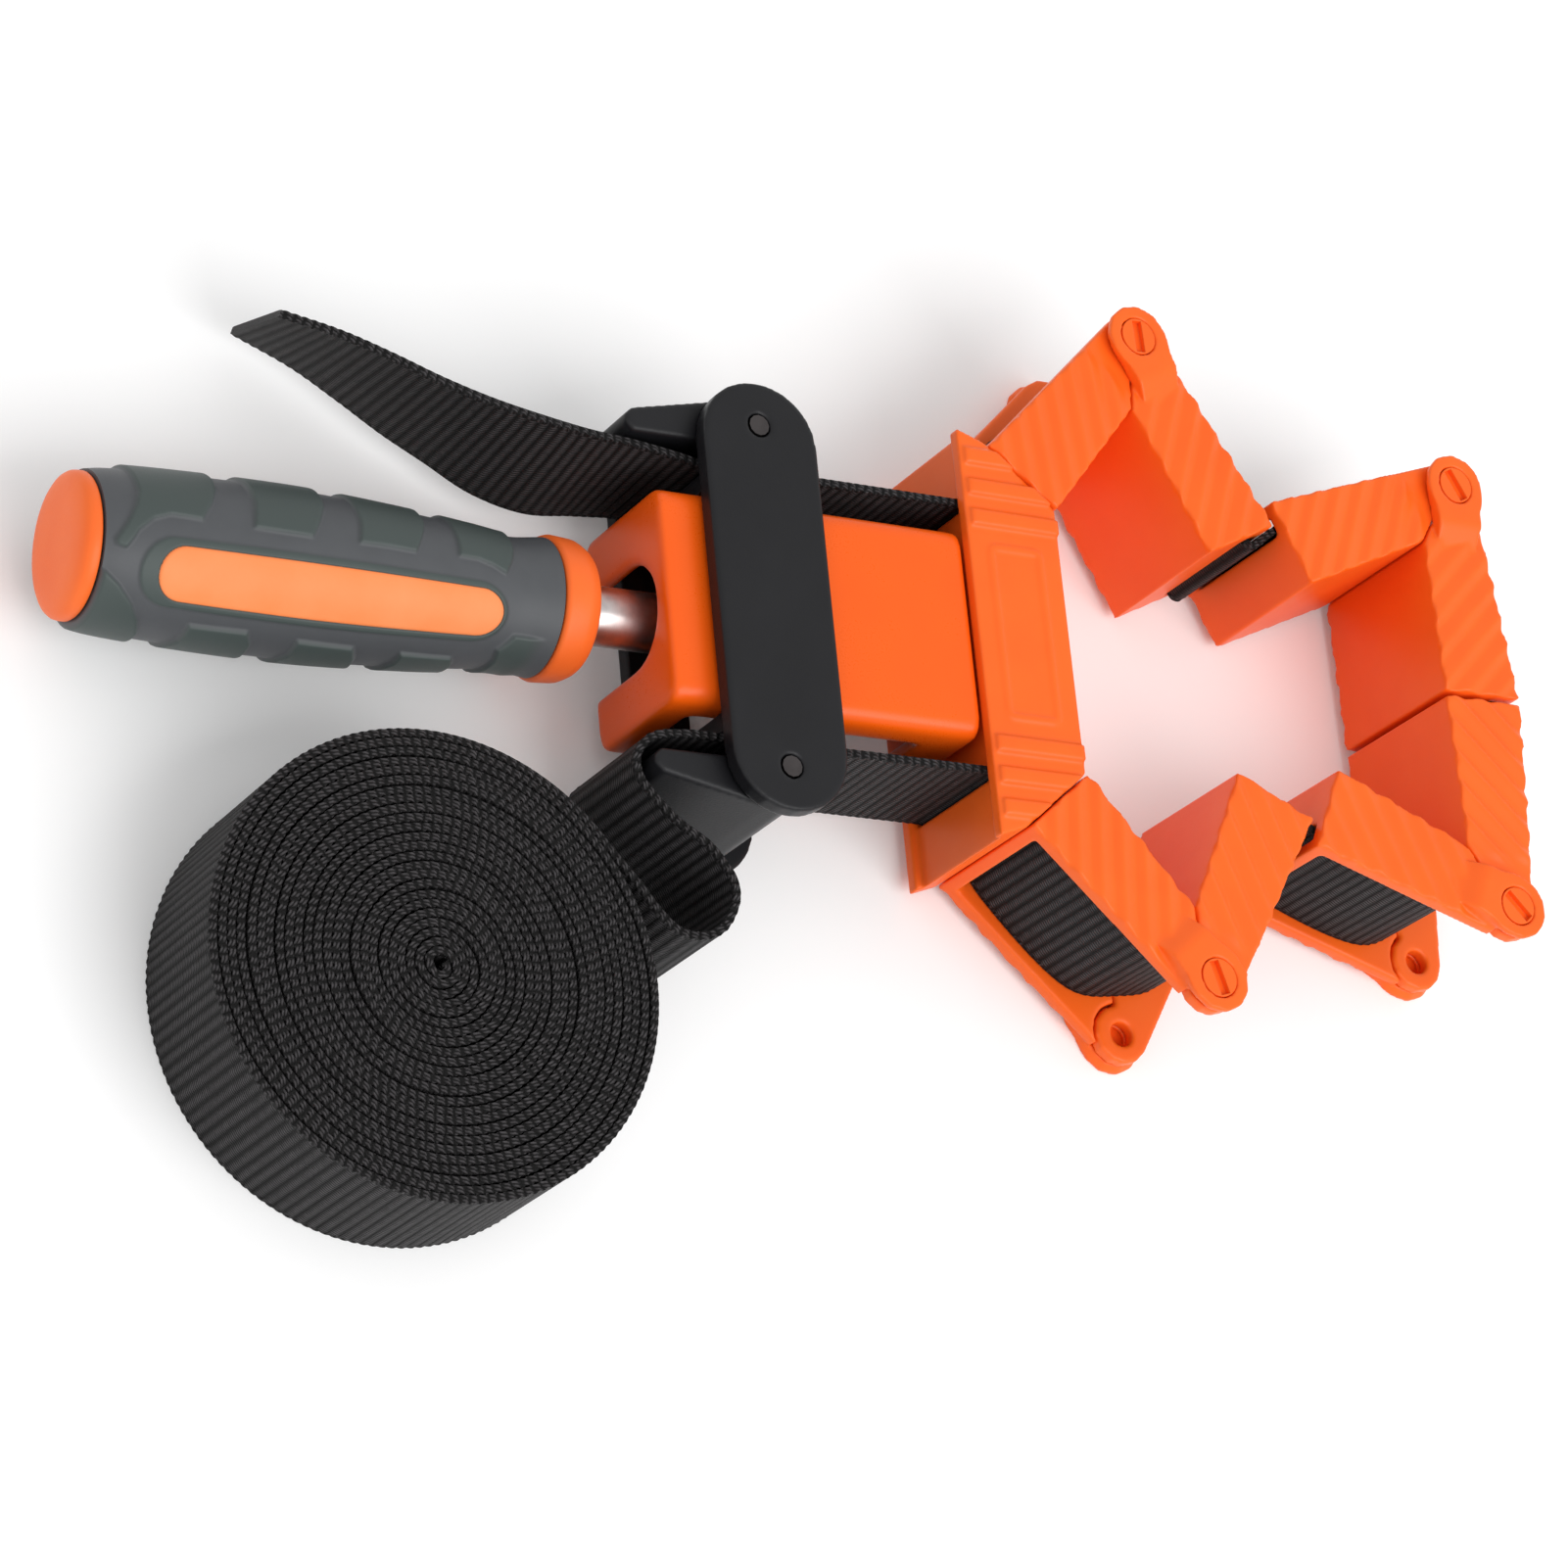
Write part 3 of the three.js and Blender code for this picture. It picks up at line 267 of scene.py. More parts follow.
@dataclass(frozen=True)
class SoftGrip:
    """Soft rubbery sleeve: matt, with a fine even grain."""

    name: str = "soft_grip"
    colour: tuple[float, float, float] = linear(80, 82, 85)
    pad: tuple[float, float, float] = linear(68, 77, 75)

    def material(self) -> bpy.types.Material:
        """Builds the material."""
        graph = Graph(bpy.data.materials.new(self.name))
        pad = graph.number(graph.node("ShaderNodeAttribute", {"attribute_name": "pad"}).outputs["Fac"])
        cloud = graph.noise(260.0, 4.0)
        fine = graph.noise(4200.0, 3.0)
        dark = tuple(c * 0.86 for c in self.colour)
        plain = graph.mix((cloud - 0.4) * 1.2, (*self.colour, 1.0), (*dark, 1.0))
        colour = graph.mix(pad, plain, (*self.pad, 1.0))
        normal = graph.bump(fine, 0.02 * MM, 0.5)
        return graph.finish(colour, 0.5 + (fine - 0.5) * 0.15, normal, Specular_IOR_Level=0.35)


@dataclass(frozen=True)
class RibbedWebbing:
    """Black woven webbing: ribs across the band, wrapped in fine yarns, and a knitted selvedge, with a painted
    highlight on their crests and painted shade in their hollows.
    """

    name: str = "woven_webbing"
    colour: tuple[float, float, float] = linear(13, 12, 12)
    # Painted highlight: the colour that the crests of the ribs and beads are painted.
    crest: tuple[float, float, float] = linear(88, 85, 87)
    rib_pitch: float = 2.0 * MM
    yarn_pitch: float = 0.62 * MM
    bead_pitch: float = 1.7 * MM
    half_width: float = 12.5 * MM
    selvedge: float = 0.7 * MM

    def material(self) -> bpy.types.Material:
        """Builds the material."""
        graph = Graph(bpy.data.materials.new(self.name))
        weave = graph.node("ShaderNodeAttribute", {"attribute_name": "weave"}).outputs["Vector"]
        parts = graph.node("ShaderNodeSeparateXYZ", Vector=weave)
        along = graph.number(parts.outputs["X"])
        across = graph.number(parts.outputs["Y"])
        out = graph.number(parts.outputs["Z"])
        wander = graph.noise(700.0, 3.0, weave)
        fibre = graph.noise(9000.0, 2.0)
        rows = (along * (math.pi / self.rib_pitch) + wander * 0.4).sine().absolute()
        lean = along * (math.pi / self.rib_pitch)
        yarns = (across * (math.pi / self.yarn_pitch) + lean + wander * 1.5).sine().absolute()
        ribs = rows.power(0.7) * (yarns * 0.65 + 0.35)
        knots = (along * (math.pi / self.bead_pitch) + wander * 3.0).sine().absolute()
        loops = (out * (math.pi / self.yarn_pitch) + along * (math.pi / self.bead_pitch)).sine().absolute()
        beads = knots.power(0.8) * (loops * 0.6 + 0.4)
        rim = ((across.absolute() - (self.half_width - self.selvedge)) * (1 / (0.1 * MM))).unit()
        height = ribs + (beads - ribs) * rim
        # Painted highlight on the crests and painted shade in the hollows: the colour follows the weave's height. Noise
        # varies the contrast, and random fibre flecks are added.
        light = (height - 0.45) * (wander * 1.4 + 0.35) + (fibre - 0.5) * 0.3
        colour = graph.mix(light.unit(), (*self.colour, 1.0), (*self.crest, 1.0))
        normal = graph.bump(height + fibre * 0.15, 0.3 * MM, 1.0)
        return graph.finish(colour, 0.7 - height * 0.14, normal, Specular_IOR_Level=0.2)


class Palette:
    """All the clamp's materials, built once."""

    def __init__(self) -> None:
        """Builds every finish."""
        self.orange = MouldedPlastic("moulded_orange", linear(250, 104, 26), linear(246, 96, 22)).material()
        self.shell = MouldedPlastic(
            "moulded_shell", linear(248, 96, 12), linear(246, 92, 12), roughness=0.3, grain=0.01 * MM, edge=0.6 * MM
        ).material()
        self.collar = MouldedPlastic(
            "moulded_collar", linear(250, 112, 42), linear(244, 100, 36), roughness=0.45
        ).material()
        self.inlay = MouldedPlastic(
            "moulded_inlay", linear(252, 138, 76), linear(252, 152, 96), roughness=0.5
        ).material()
        self.black = MouldedPlastic(
            "moulded_black", linear(20, 20, 23), linear(26, 26, 29), roughness=0.42, grain=0.05 * MM, edge=0.45 * MM
        ).material()
        self.steel = TurnedSteel().material()
        self.rivet = TurnedSteel("dark_steel", linear(84, 80, 80), roughness=0.34).material()
        self.rubber = SoftGrip().material()
        self.webbing = RibbedWebbing().material()


# Making pieces


def add_object(name: str, data: bpy.types.ID | None) -> bpy.types.Object:
    """Adds an object to the scene."""
    made = bpy.data.objects.new(name, data)
    bpy.context.scene.collection.objects.link(made)
    return made


def finish_mesh(name: str, mesh: bmesh.types.BMesh, material: bpy.types.Material, body: str | None,
                nodes: Iterable[str] = (), crease: float = 35.0) -> bpy.types.Object:
    """Turns a bmesh into a named piece.

    Args:
        name: The piece's name.
        mesh: Its shape, freed here.
        material: Its finish.
        body: The body it rides on, or None for a piece that runs between two.
        nodes: The CAD nodes that it stands for.
        crease: Edges sharper than this, in degrees, stay crisp.

    Returns:
        The piece.
    """
    bmesh.ops.recalc_face_normals(mesh, faces=mesh.faces)
    for face in mesh.faces:
        face.smooth = True
    limit = math.radians(crease)
    for edge in mesh.edges:
        edge.smooth = len(edge.link_faces) == 2 and edge.calc_face_angle(math.pi) < limit
    data = bpy.data.meshes.new(name)
    mesh.to_mesh(data)
    mesh.free()
    data.materials.append(material)
    piece = add_object(name, data)
    if body:
        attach(piece, body)
    if nodes:
        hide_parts(*nodes)
    log.info("%s: %d faces on %s", name, len(data.polygons), body or "two bodies")
    return piece


def turn_profile(profile: Sequence[tuple[float, float]], steps: int) -> bmesh.types.BMesh:
    """Spins a profile a full turn about the spindle's axis.

    Args:
        profile: Pairs of place along X and distance from the axis, in millimetres.
        steps: Steps of the turn.

    Returns:
        The turned mesh, its doubles merged.
    """
    mesh = bmesh.new()
    chain = [mesh.verts.new((along * MM, 0, radius * MM)) for along, radius in profile]
    edges = [mesh.edges.new(pair) for pair in zip(chain, chain[1:])]
    bmesh.ops.spin(mesh, geom=chain + edges, cent=(0, 0, 0), axis=(1, 0, 0), angle=FULL_TURN, steps=steps,
                   use_merge=True)
    bmesh.ops.remove_doubles(mesh, verts=mesh.verts, dist=0.002 * MM)
    return mesh


def smooth_step(value: float) -> float:
    """0 to 1 with level ends."""
    held = min(max(value, 0.0), 1.0)
    return held * held * (3 - 2 * held)


def smooth_route(points: Sequence[Vector], per_span: int = 24) -> list[Vector]:
    """A centripetal curve through points, as the band lies.

    Args:
        points: Places on the way, with more values after the first three where they vary along it.
        per_span: Steps between neighbouring places.

    Returns:
        The points of the curve.
    """
    way = [points[0] * 2 - points[1], *points, points[-1] * 2 - points[-2]]
    result = []
    for before, start, end, after in zip(way, way[1:], way[2:], way[3:]):
        first, middle, last = (
            max((b - a).to_3d().length ** 0.5, 1e-6) for a, b in ((before, start), (start, end), (end, after))
        )
        leave = (start - before) * (middle / first) - (end - before) * (middle / (first + middle)) + (end - start)
        arrive = (end - start) - (after - start) * (middle / (middle + last)) + (after - end) * (middle / last)
        for step in range(per_span):
            t = step / per_span
            ease = 3 * t ** 2 - 2 * t ** 3
            bend = leave * (t ** 3 - 2 * t ** 2 + t) + arrive * (t ** 3 - t ** 2)
            result.append(start * (1 - ease) + end * ease + bend)
    result.append(points[-1].copy())
    return result


def even_steps(points: Sequence[Vector], spacing: float) -> list[Vector]:
    """Points at even steps along a way.

    Args:
        points: The way.
        spacing: The wanted step.

    Returns:
        The evenly spaced points, ends included.
    """
    lengths = [0.0]
    for first, second in zip(points, points[1:]):
        lengths.append(lengths[-1] + (second - first).to_3d().length)
    count = max(round(lengths[-1] / spacing), 2)
    result = []
    place = 0
    for i in range(count + 1):
        target = lengths[-1] * i / count
        while place < len(points) - 2 and lengths[place + 1] < target:
            place += 1
        span = max(lengths[place + 1] - lengths[place], 1e-9)
        result.append(points[place].lerp(points[place + 1], min((target - lengths[place]) / span, 1.0)))
    return result


def way_length(points: Sequence[Vector]) -> float:
    """The length of a way."""
    return sum((second - first).length for first, second in zip(points, points[1:]))


def part_of(points: Sequence[Vector], start: float, end: float) -> list[Vector]:
    """The stretch of a way between two distances from its start."""
    result = []
    place = 0.0
    for first, second in zip(points, points[1:]):
        span = (second - first).length
        for limit in (start, end):
            if place <= limit < place + span:
                result.append(first.lerp(second, (limit - place) / span))
        place += span
        if start < place < end:
            result.append(second)
    if end >= place:
        result.append(points[-1])
    return result


def along_way(points: Sequence[Vector], i: int) -> Vector:
    """The way's direction at one of its points."""
    return (points[min(i + 1, len(points) - 1)].to_3d() - points[max(i - 1, 0)].to_3d()).normalized()


def leaning_edge(along: Vector, twist: float) -> Vector:
    """The band's edge direction, upright but for a twist in degrees."""
    lean = math.radians(twist)
    return Vector((0, 0, math.cos(lean))) - Vector((along.y, -along.x, 0)) * math.sin(lean)


def mirrored(points: Iterable[Vector]) -> list[Vector]:
    """The same way on the clamp's other side."""
    return [Vector((point.x, -point.y, point.z)) for point in points]


# The band


@dataclass
class Station:
    """One cross-section of the band: its middle, its face's direction and its edge's direction."""

    middle: Vector
    face: Vector
    edge: Vector


@dataclass(frozen=True)
class Hinge:
    """One folding corner's pin, in millimetres, and the directions of its halves and of its slot, in degrees.

    The phase sets where its ridges fall, as a share of their pitch.
    """

    x: float
    y: float
    tongue: float
    fork: float
    slot: float
    phase: float


HINGES = {
    1: Hinge(21.276, 61.625, 230, 296, 92, 0.2),
    2: Hinge(89.521, 41.784, 204, 270, 118, 0.55),
    3: Hinge(89.521, -41.784, 90, 156, 132, 0.1),
    4: Hinge(21.276, -61.625, 64, 130, 106, 0.7),
}


@dataclass
class Band:
    """The webbing: one band 25 mm wide, in the stretches that the clamp's bodies carry."""

    palette: Palette
    width: float = 25 * MM
    thickness: float = 1.2 * MM
    rib: float = 0.2 * MM
    edge_width: float = 0.55 * MM
    edge_thickness: float = 1.3 * MM
    scallop: float = 0.4 * MM
    rib_pitch: float = 2.0 * MM
    bead_pitch: float = 1.7 * MM
    step: float = 0.36 * MM
    run_start: float = -51.7 * MM
    run_reach: float = 25.3 * MM
    block_rear: float = -18.9 * MM
    channel_radius: float = 6 * MM
    slant_turn: float = math.radians(50)
    half_length: float = 41.3 * MM
    bend_lead: float = 44.27 * MM
    hinge_lap: float = 5 * MM
    first_corner: Hinge = HINGES[1]
    second_corner: Hinge = HINGES[2]
    corner_places: tuple[tuple[float, float], ...] = ((41.3, 4.6), (34.0, 5.4), (12.5, 2.7))
    apex_reach: float = 7.6 * MM
    crosshead: float = -61.0
    tail_route: tuple[tuple[float, float, float], ...] = (
        (-9, 25.3, 0), (9, 25.3, 0), (11.9, 25.9, 0), (21.4, 27.3, -5), (30.7, 28.1, -9), (39.9, 29.5, -7),
        (48.9, 31.2, 0), (57.9, 33.6, 5), (66.9, 36.6, 10), (75.9, 39.2, 15), (86.7, 41.2, 20),
    )
    loop_route: tuple[tuple[float, float, float], ...] = (
        (-9, 25.3, 0), (9, 25.3, 0), (10.5, 25.3, 0), (17, 25.4, 0), (23.2, 26.6, 0.1), (26.2, 30, 0.4),
        (25.8, 33.6, 0.8), (22.8, 37.2, 1.2), (18.4, 40.9, 1.7), (13, 44, 2.2), (10.2, 46.7, 2.7), (8.2, 49.3, 3.2),
        (7.6, 52.2, 3.7), (8.6, 55.4, 4.2), (10.8, 58.2, 4.6), (14.6, 59.4, 5), (18.4, 58.6, 5.3), (21.8, 55.4, 5.5),
        (25.1, 50.9, 5.7),
    )
    roll_middle: tuple[float, float, float] = (-123.9, -68.7, -5.75)
    roll_radius: float = 40.4
    roll_pitch: float = 1.64
    roll_loops: int = 24
    roll_entry: float = 36.0
    roll_steps: int = 120
    roll_wander: float = 0.06
    roll_lift: float = 0.2
    laid: float = 0.0

    def stations(self, way: Sequence[Vector]) -> list[Station]:
        """Cross-sections along a way, upright but for the twist in each point's fourth value."""
        points = even_steps(way, self.step)
        made = []
        for i, point in enumerate(points):
            along = along_way(points, i)
            edge = leaning_edge(along, point[3] if len(point) == 4 else 0.0)
            made.append(Station(point.to_3d(), edge.cross(along).normalized(), edge))
        return made

    def strip(self, stations: Sequence[Station]) -> tuple[bmesh.types.BMesh, float]:
        """Sweeps the band's section through stations, with its wavy edges and its weave's coordinates.

        Args:
            stations: The cross-sections.

        Returns:
            The mesh and the strip's length.
        """
        half, up, lip = self.width / 2, self.thickness / 2, self.edge_thickness / 2
        flat = half - self.edge_width
        section = [
            (flat, up), (-flat, up), (-half, lip), (-half, -lip), (-flat, -up), (flat, -up), (half, -lip), (half, lip)
        ]
        lengths = [0.0]
        for first, second in zip(stations, stations[1:]):
            lengths.append(lengths[-1] + (second.middle - first.middle).length)
        count = len(stations) - 1
        mesh = bmesh.new()
        bmesh.ops.create_cone(mesh, cap_ends=True, segments=len(section), radius1=1, radius2=1, depth=1)
        long_edges = [edge for edge in mesh.edges if abs(edge.verts[0].co.z - edge.verts[1].co.z) > 0.5]
        bmesh.ops.subdivide_edges(mesh, edges=long_edges, cuts=count - 1)
        layer = mesh.verts.layers.float_vector.new("weave")
        for vert in mesh.verts:
            place = min(max(round((vert.co.z + 0.5) * count), 0), count)
            across, out = section[round(math.atan2(vert.co.y, vert.co.x) / FULL_TURN * len(section)) % len(section)]
            along = self.laid + lengths[place]
            if abs(across) > flat:
                bead = abs(math.sin(along * math.pi / self.bead_pitch))
                across += math.copysign(self.scallop * (bead - 1), across)
                out *= 0.75 + 0.45 * bead
            else:
                out += math.copysign(self.rib * (abs(math.sin(along * math.pi / self.rib_pitch)) - 0.5), out)
            station = stations[place]
            vert.co = station.middle + station.edge * across + station.face * out
            vert[layer] = (along, across, out)
        return mesh, lengths[-1]

    def lay(self, name: str, way: Sequence[Vector], node: str, held: str, *bodies: str) -> None:
        """Makes one stretch of band.

        Args:
            name: The piece's name.
            way: The band's middle along it.
            node: The CAD node that it stands for.
            held: How the cloth is held; not used.
            bodies: The body it rides on, or the two that it runs between.
        """
        mesh, length = self.strip(self.stations(way))
        body = bodies[0] if len(bodies) == 1 else None
        piece = finish_mesh(name, mesh, self.palette.webbing, body, [node], crease=38)
        if len(bodies) == 2:
            tuple(way[0])
            tuple(way[-1])
            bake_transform(piece)
        self.laid += length
        log.info("%s: %.0f mm of band, %.0f mm laid", name, length / MM, self.laid / MM)

    def in_half(self, corner: Hinge, second: bool, along: float, out: float) -> Vector:
        """A place in one half of a corner, along it and out from its middle line."""
        direction = math.radians(corner.fork if second else corner.tongue)
        across = direction + (math.pi / 2 if second else -math.pi / 2)
        return Vector((corner.x, corner.y, 0)) * MM + Vector((
            along * math.cos(direction) + out * math.cos(across),
            along * math.sin(direction) + out * math.sin(across),
            0,
        ))

    def corner_way(self, corner: Hinge) -> list[Vector]:
        """The band's way through a corner, from its first half's end to its second's."""
        middle = math.radians((corner.tongue + corner.fork) / 2)
        pin = Vector((corner.x, corner.y, 0)) * MM
        apex = pin + Vector((math.cos(middle), math.sin(middle), 0)) * self.apex_reach
        places = [(u * MM, v * MM) for u, v in self.corner_places]
        return smooth_route([
            *(self.in_half(corner, False, u, v) for u, v in places),
            apex,
            *(self.in_half(corner, True, u, v) for u, v in reversed(places)),
        ])

    def entry_way(self) -> list[Vector]:
        """The way through the block's curved channel to the first corner's end slot."""
        exit_place = self.corner_way(self.first_corner)[0]
        turn = self.slant_turn
        meet = exit_place.x - (exit_place.y - self.run_reach) / math.tan(turn)
        centre = Vector((meet - self.channel_radius * math.tan(turn / 2), self.run_reach + self.channel_radius, 0))
        arc = [turn * i / 24 - math.pi / 2 for i in range(25)]
        bend = [centre + Vector((math.cos(a), math.sin(a), 0)) * self.channel_radius for a in arc]
        return [Vector((self.block_rear, self.run_reach, 0)), *bend, exit_place]

    def junction_way(self) -> list[Vector]:
        """The bend between the first corner's end slot and the second's."""
        out = self.corner_places[0][1] * MM
        ends = [
            self.in_half(self.first_corner, True, self.half_length, out),
            self.in_half(self.first_corner, True, self.bend_lead, out),
            self.in_half(self.second_corner, False, self.bend_lead, out),
            self.in_half(self.second_corner, False, self.half_length, out),
        ]
        way = []
        for step in range(25):
            t = step / 24
            shares = ((1 - t) ** 3, 3 * t * (1 - t) ** 2, 3 * t ** 2 * (1 - t), t ** 3)
            way.append(sum((end * share for end, share in zip(ends, shares)), Vector()))
        return way

    def circuit(self) -> None:
        """Lays the band round the block and the four corners."""
        run = [Vector((self.run_start, self.run_reach, 0)), Vector((self.block_rear, self.run_reach, 0))]
        entry, bend = self.entry_way(), self.junction_way()
        first, second = self.corner_way(self.first_corner), self.corner_way(self.second_corner)
        whole = [*run, *entry[1:], *first[1:], *bend[1:], *second[1:], Vector((second[-1].x, 0, 0))]
        entered = way_length(run) + way_length(entry)
        turned = entered + way_length(first)
        cuts = (
            0.0, way_length(run), entered, turned - self.hinge_lap, turned + way_length(bend) + self.hinge_lap,
            way_length(whole),
        )
        titles = ("run", "entry", "first_corner", "junction", "second_corner")
        stretches = [(title, part_of(whole, start, end)) for title, start, end in zip(titles, cuts, cuts[1:])]
        left = ("1_tongue", "1_fork", "2_tongue", "2_fork")
        right = ("4_fork", "4_tongue", "3_fork", "3_tongue")
        for side, halves in ((Side.LEFT, left), (Side.RIGHT, right)):
            bodies = ("crosshead", "housing_body", *(f"corner_{half}_half" for half in halves))
            for i, (title, way) in enumerate(stretches):
                path = way if side is Side.LEFT else mirrored(way)
                name = f"band_{side.name.lower()}_{title}"
                self.lay(name, path, "band_circuit", "stretched", bodies[i], bodies[i + 1])

    def free_way(self, route: Sequence[tuple[float, float, float]], side: Side, twists: bool) -> list[Vector]:
        """The middle of a free stretch, from places of its near edge.

        Args:
            route: Places back from the crosshead and out from the spindle, with a twist or a drop.
            side: The side it lies on.
            twists: True where the third value is the twist, not the drop.

        Returns:
            Points with the twist as their fourth value.
        """
        places = []
        for back, out, third in route:
            drop, twist = (0.0, third) if twists else (third, 0.0)
            height = self.width / 2 / MM - drop
            places.append(Vector((self.crosshead - back, side.value * out, height, twist)))
        curve = smooth_route(places)
        way = []
        for i, point in enumerate(curve):
            edge = leaning_edge(along_way(curve, i), point[3])
            way.append(Vector((*(point.to_3d() * MM - edge * (self.width / 2)), point[3])))
        return way

    def roll_place(self, turns: float) -> Vector:
        """The middle of the roll's band after so many turns from outside."""
        x, y, z = self.roll_middle
        angle = math.radians(self.roll_entry) + turns * FULL_TURN
        settled = smooth_step(turns)
        wander = self.roll_wander * settled * math.sin(2.3 * turns + 2 * angle)
        radius = self.roll_radius - self.roll_pitch * turns + wander
        lift = self.roll_lift * settled * (math.sin(1.7 * turns) + 0.6 * math.sin(3 * angle + turns))
        return Vector((x + radius * math.cos(angle), y + radius * math.sin(angle), z + lift)) * MM

    def spare(self) -> None:
        """Lays the free tail, the loop from the right cam and the roll."""
        tail = self.free_way(self.tail_route, Side.LEFT, True)
        self.lay("band_tail_strip", tail, "band_tail", "stretched", "crosshead")
        entry = self.roll_place(0) / MM
        last = (self.crosshead - entry.x, -entry.y, -self.roll_middle[2])
        loop = self.free_way((*self.loop_route, last), Side.RIGHT, False)
        self.lay("band_loop_strip", loop, "band_loop", "laid", "crosshead")
        count = self.roll_loops * self.roll_steps
        turns = [self.roll_place(i / self.roll_steps) for i in range(count + 1)]
        self.lay("band_roll_strip", turns, "band_roll", "laid", "crosshead")

    def build(self) -> None:
        """Lays the whole band."""
        self.circuit()
        self.spare()


# The screw and its grip


@dataclass
class Screw:
    """The round bar that draws the crosshead, in lengths of millimetres."""

    palette: Palette
    profile: tuple[tuple[float, float], ...] = (
        (-118.9, 0), (-118.9, 4.2), (-118.7, 4.4), (-90.2, 4.4), (-90.2, 5.2), (-23.9, 5.2), (-23.6, 4.9), (-23.6, 3.5),
        (-13.1, 3.5), (-12.7, 3.1), (-12.7, 0),
    )

    def build(self) -> None:
        """Turns the bar."""
        finish_mesh("screw_bar", turn_profile(self.profile, 96), self.palette.steel, "handle", ["spindle"])


@dataclass(frozen=True)
class Pad:
    """A raised pad of the sleeve, alike on both sides of its row's middle.

    The outline's half runs from the middle's rear to its front, in millimetres along the spindle's axis and degrees
    from the row's middle.
    """

    row: float
    half: tuple[tuple[float, float], ...]
    fade_from: float = 0.0
    fade_to: float = 1.0

    def outline(self, radius: float) -> list[tuple[float, float]]:
        """The closed outline, in millimetres along and around."""
        around = [(along, math.radians(turn) * radius) for along, turn in self.half]
        return [*around, *((along, -arc) for along, arc in reversed(around) if arc > 0)]


def from_outline(outline: Sequence[tuple[float, float]], x: float, y: float) -> float:
    """Distance out from a closed outline, negative inside it."""
    nearest = math.inf
    inside = False
    x0, y0 = outline[-1]
    for x1, y1 in outline:
        dx, dy = x1 - x0, y1 - y0
        share = min(max(((x - x0) * dx + (y - y0) * dy) / (dx * dx + dy * dy), 0.0), 1.0)
        nearest = min(nearest, math.hypot(x - x0 - share * dx, y - y0 - share * dy))
        if (y0 > y) != (y1 > y) and x < x0 + (y - y0) / dy * dx:
            inside = not inside
        x0, y0 = x1, y1
    return -nearest if inside else nearest


UPPER_ROW, LOWER_ROW = -55.0, 125.0

PADS = (
    Pad(UPPER_ROW, (
        (-175.2, 0), (-175.2, 20), (-175.1, 33), (-176.0, 45.5), (-177.3, 56.7), (-179.5, 72), (-179.2, 75.5),
        (-177.6, 76.7), (-176.5, 70.1), (-175.6, 63.4), (-173.1, 54.4), (-170.1, 49.9), (-164.7, 51.0), (-162.7, 37.1),
        (-161.2, 21.9), (-160.8, 9.3), (-160.7, 0),
    )),
    Pad(UPPER_ROW, (
        (-155, 0), (-155, 33), (-155.8, 52), (-145.4, 53), (-144.1, 43.4), (-142.2, 24.6), (-141.9, 14), (-141.8, 0),
    )),
    Pad(UPPER_ROW, (
        (-136.2, 0), (-136.2, 36), (-136.9, 52), (-131.3, 51.1), (-126.3, 51.4), (-124.7, 37.4), (-123.4, 22.6),
        (-123.1, 0),
    )),
    Pad(UPPER_ROW, (
        (-117.9, 0), (-117.9, 38), (-118.1, 48.4), (-114.3, 48), (-111.5, 51.1), (-109.1, 55.9), (-107.6, 43.2),
        (-106.6, 28.3), (-106.3, 0),
    )),
    Pad(LOWER_ROW, (
        (-183.5, 0), (-183.5, 84), (-180.4, 85.2), (-177.6, 76.8), (-174.7, 64.3), (-172.4, 50.1), (-171, 34.7),
        (-170.6, 15), (-170.6, 0),
    )),
    Pad(LOWER_ROW, (
        (-165.2, 0), (-164.4, 26), (-163.8, 34), (-163.8, 53), (-153.6, 54.3), (-151.9, 42.2), (-151.2, 21.6),
        (-151, 0),
    )),
    Pad(LOWER_ROW, (
        (-145.8, 0), (-145, 26), (-144.4, 34), (-144.5, 52), (-134.2, 50.5), (-132.6, 36.7), (-131.5, 17.4),
        (-131.4, 0),
    )),
    Pad(LOWER_ROW, (
        (-126.6, 0), (-125.8, 26), (-125.2, 34), (-125.3, 48.2), (-115.6, 46.3), (-114.6, 36.7), (-114.4, 24),
        (-114.3, 0),
    )),
    Pad(LOWER_ROW, (
        (-108.6, 0), (-107.8, 25), (-107.5, 44.5), (-108.1, 57.8), (-107.1, 64.5), (-105.9, 73.6), (-98, 73.6),
        (-98, 0),
    ), -103.5, -99.5),
)


Shape = tuple[Pad, list[tuple[float, float]]]


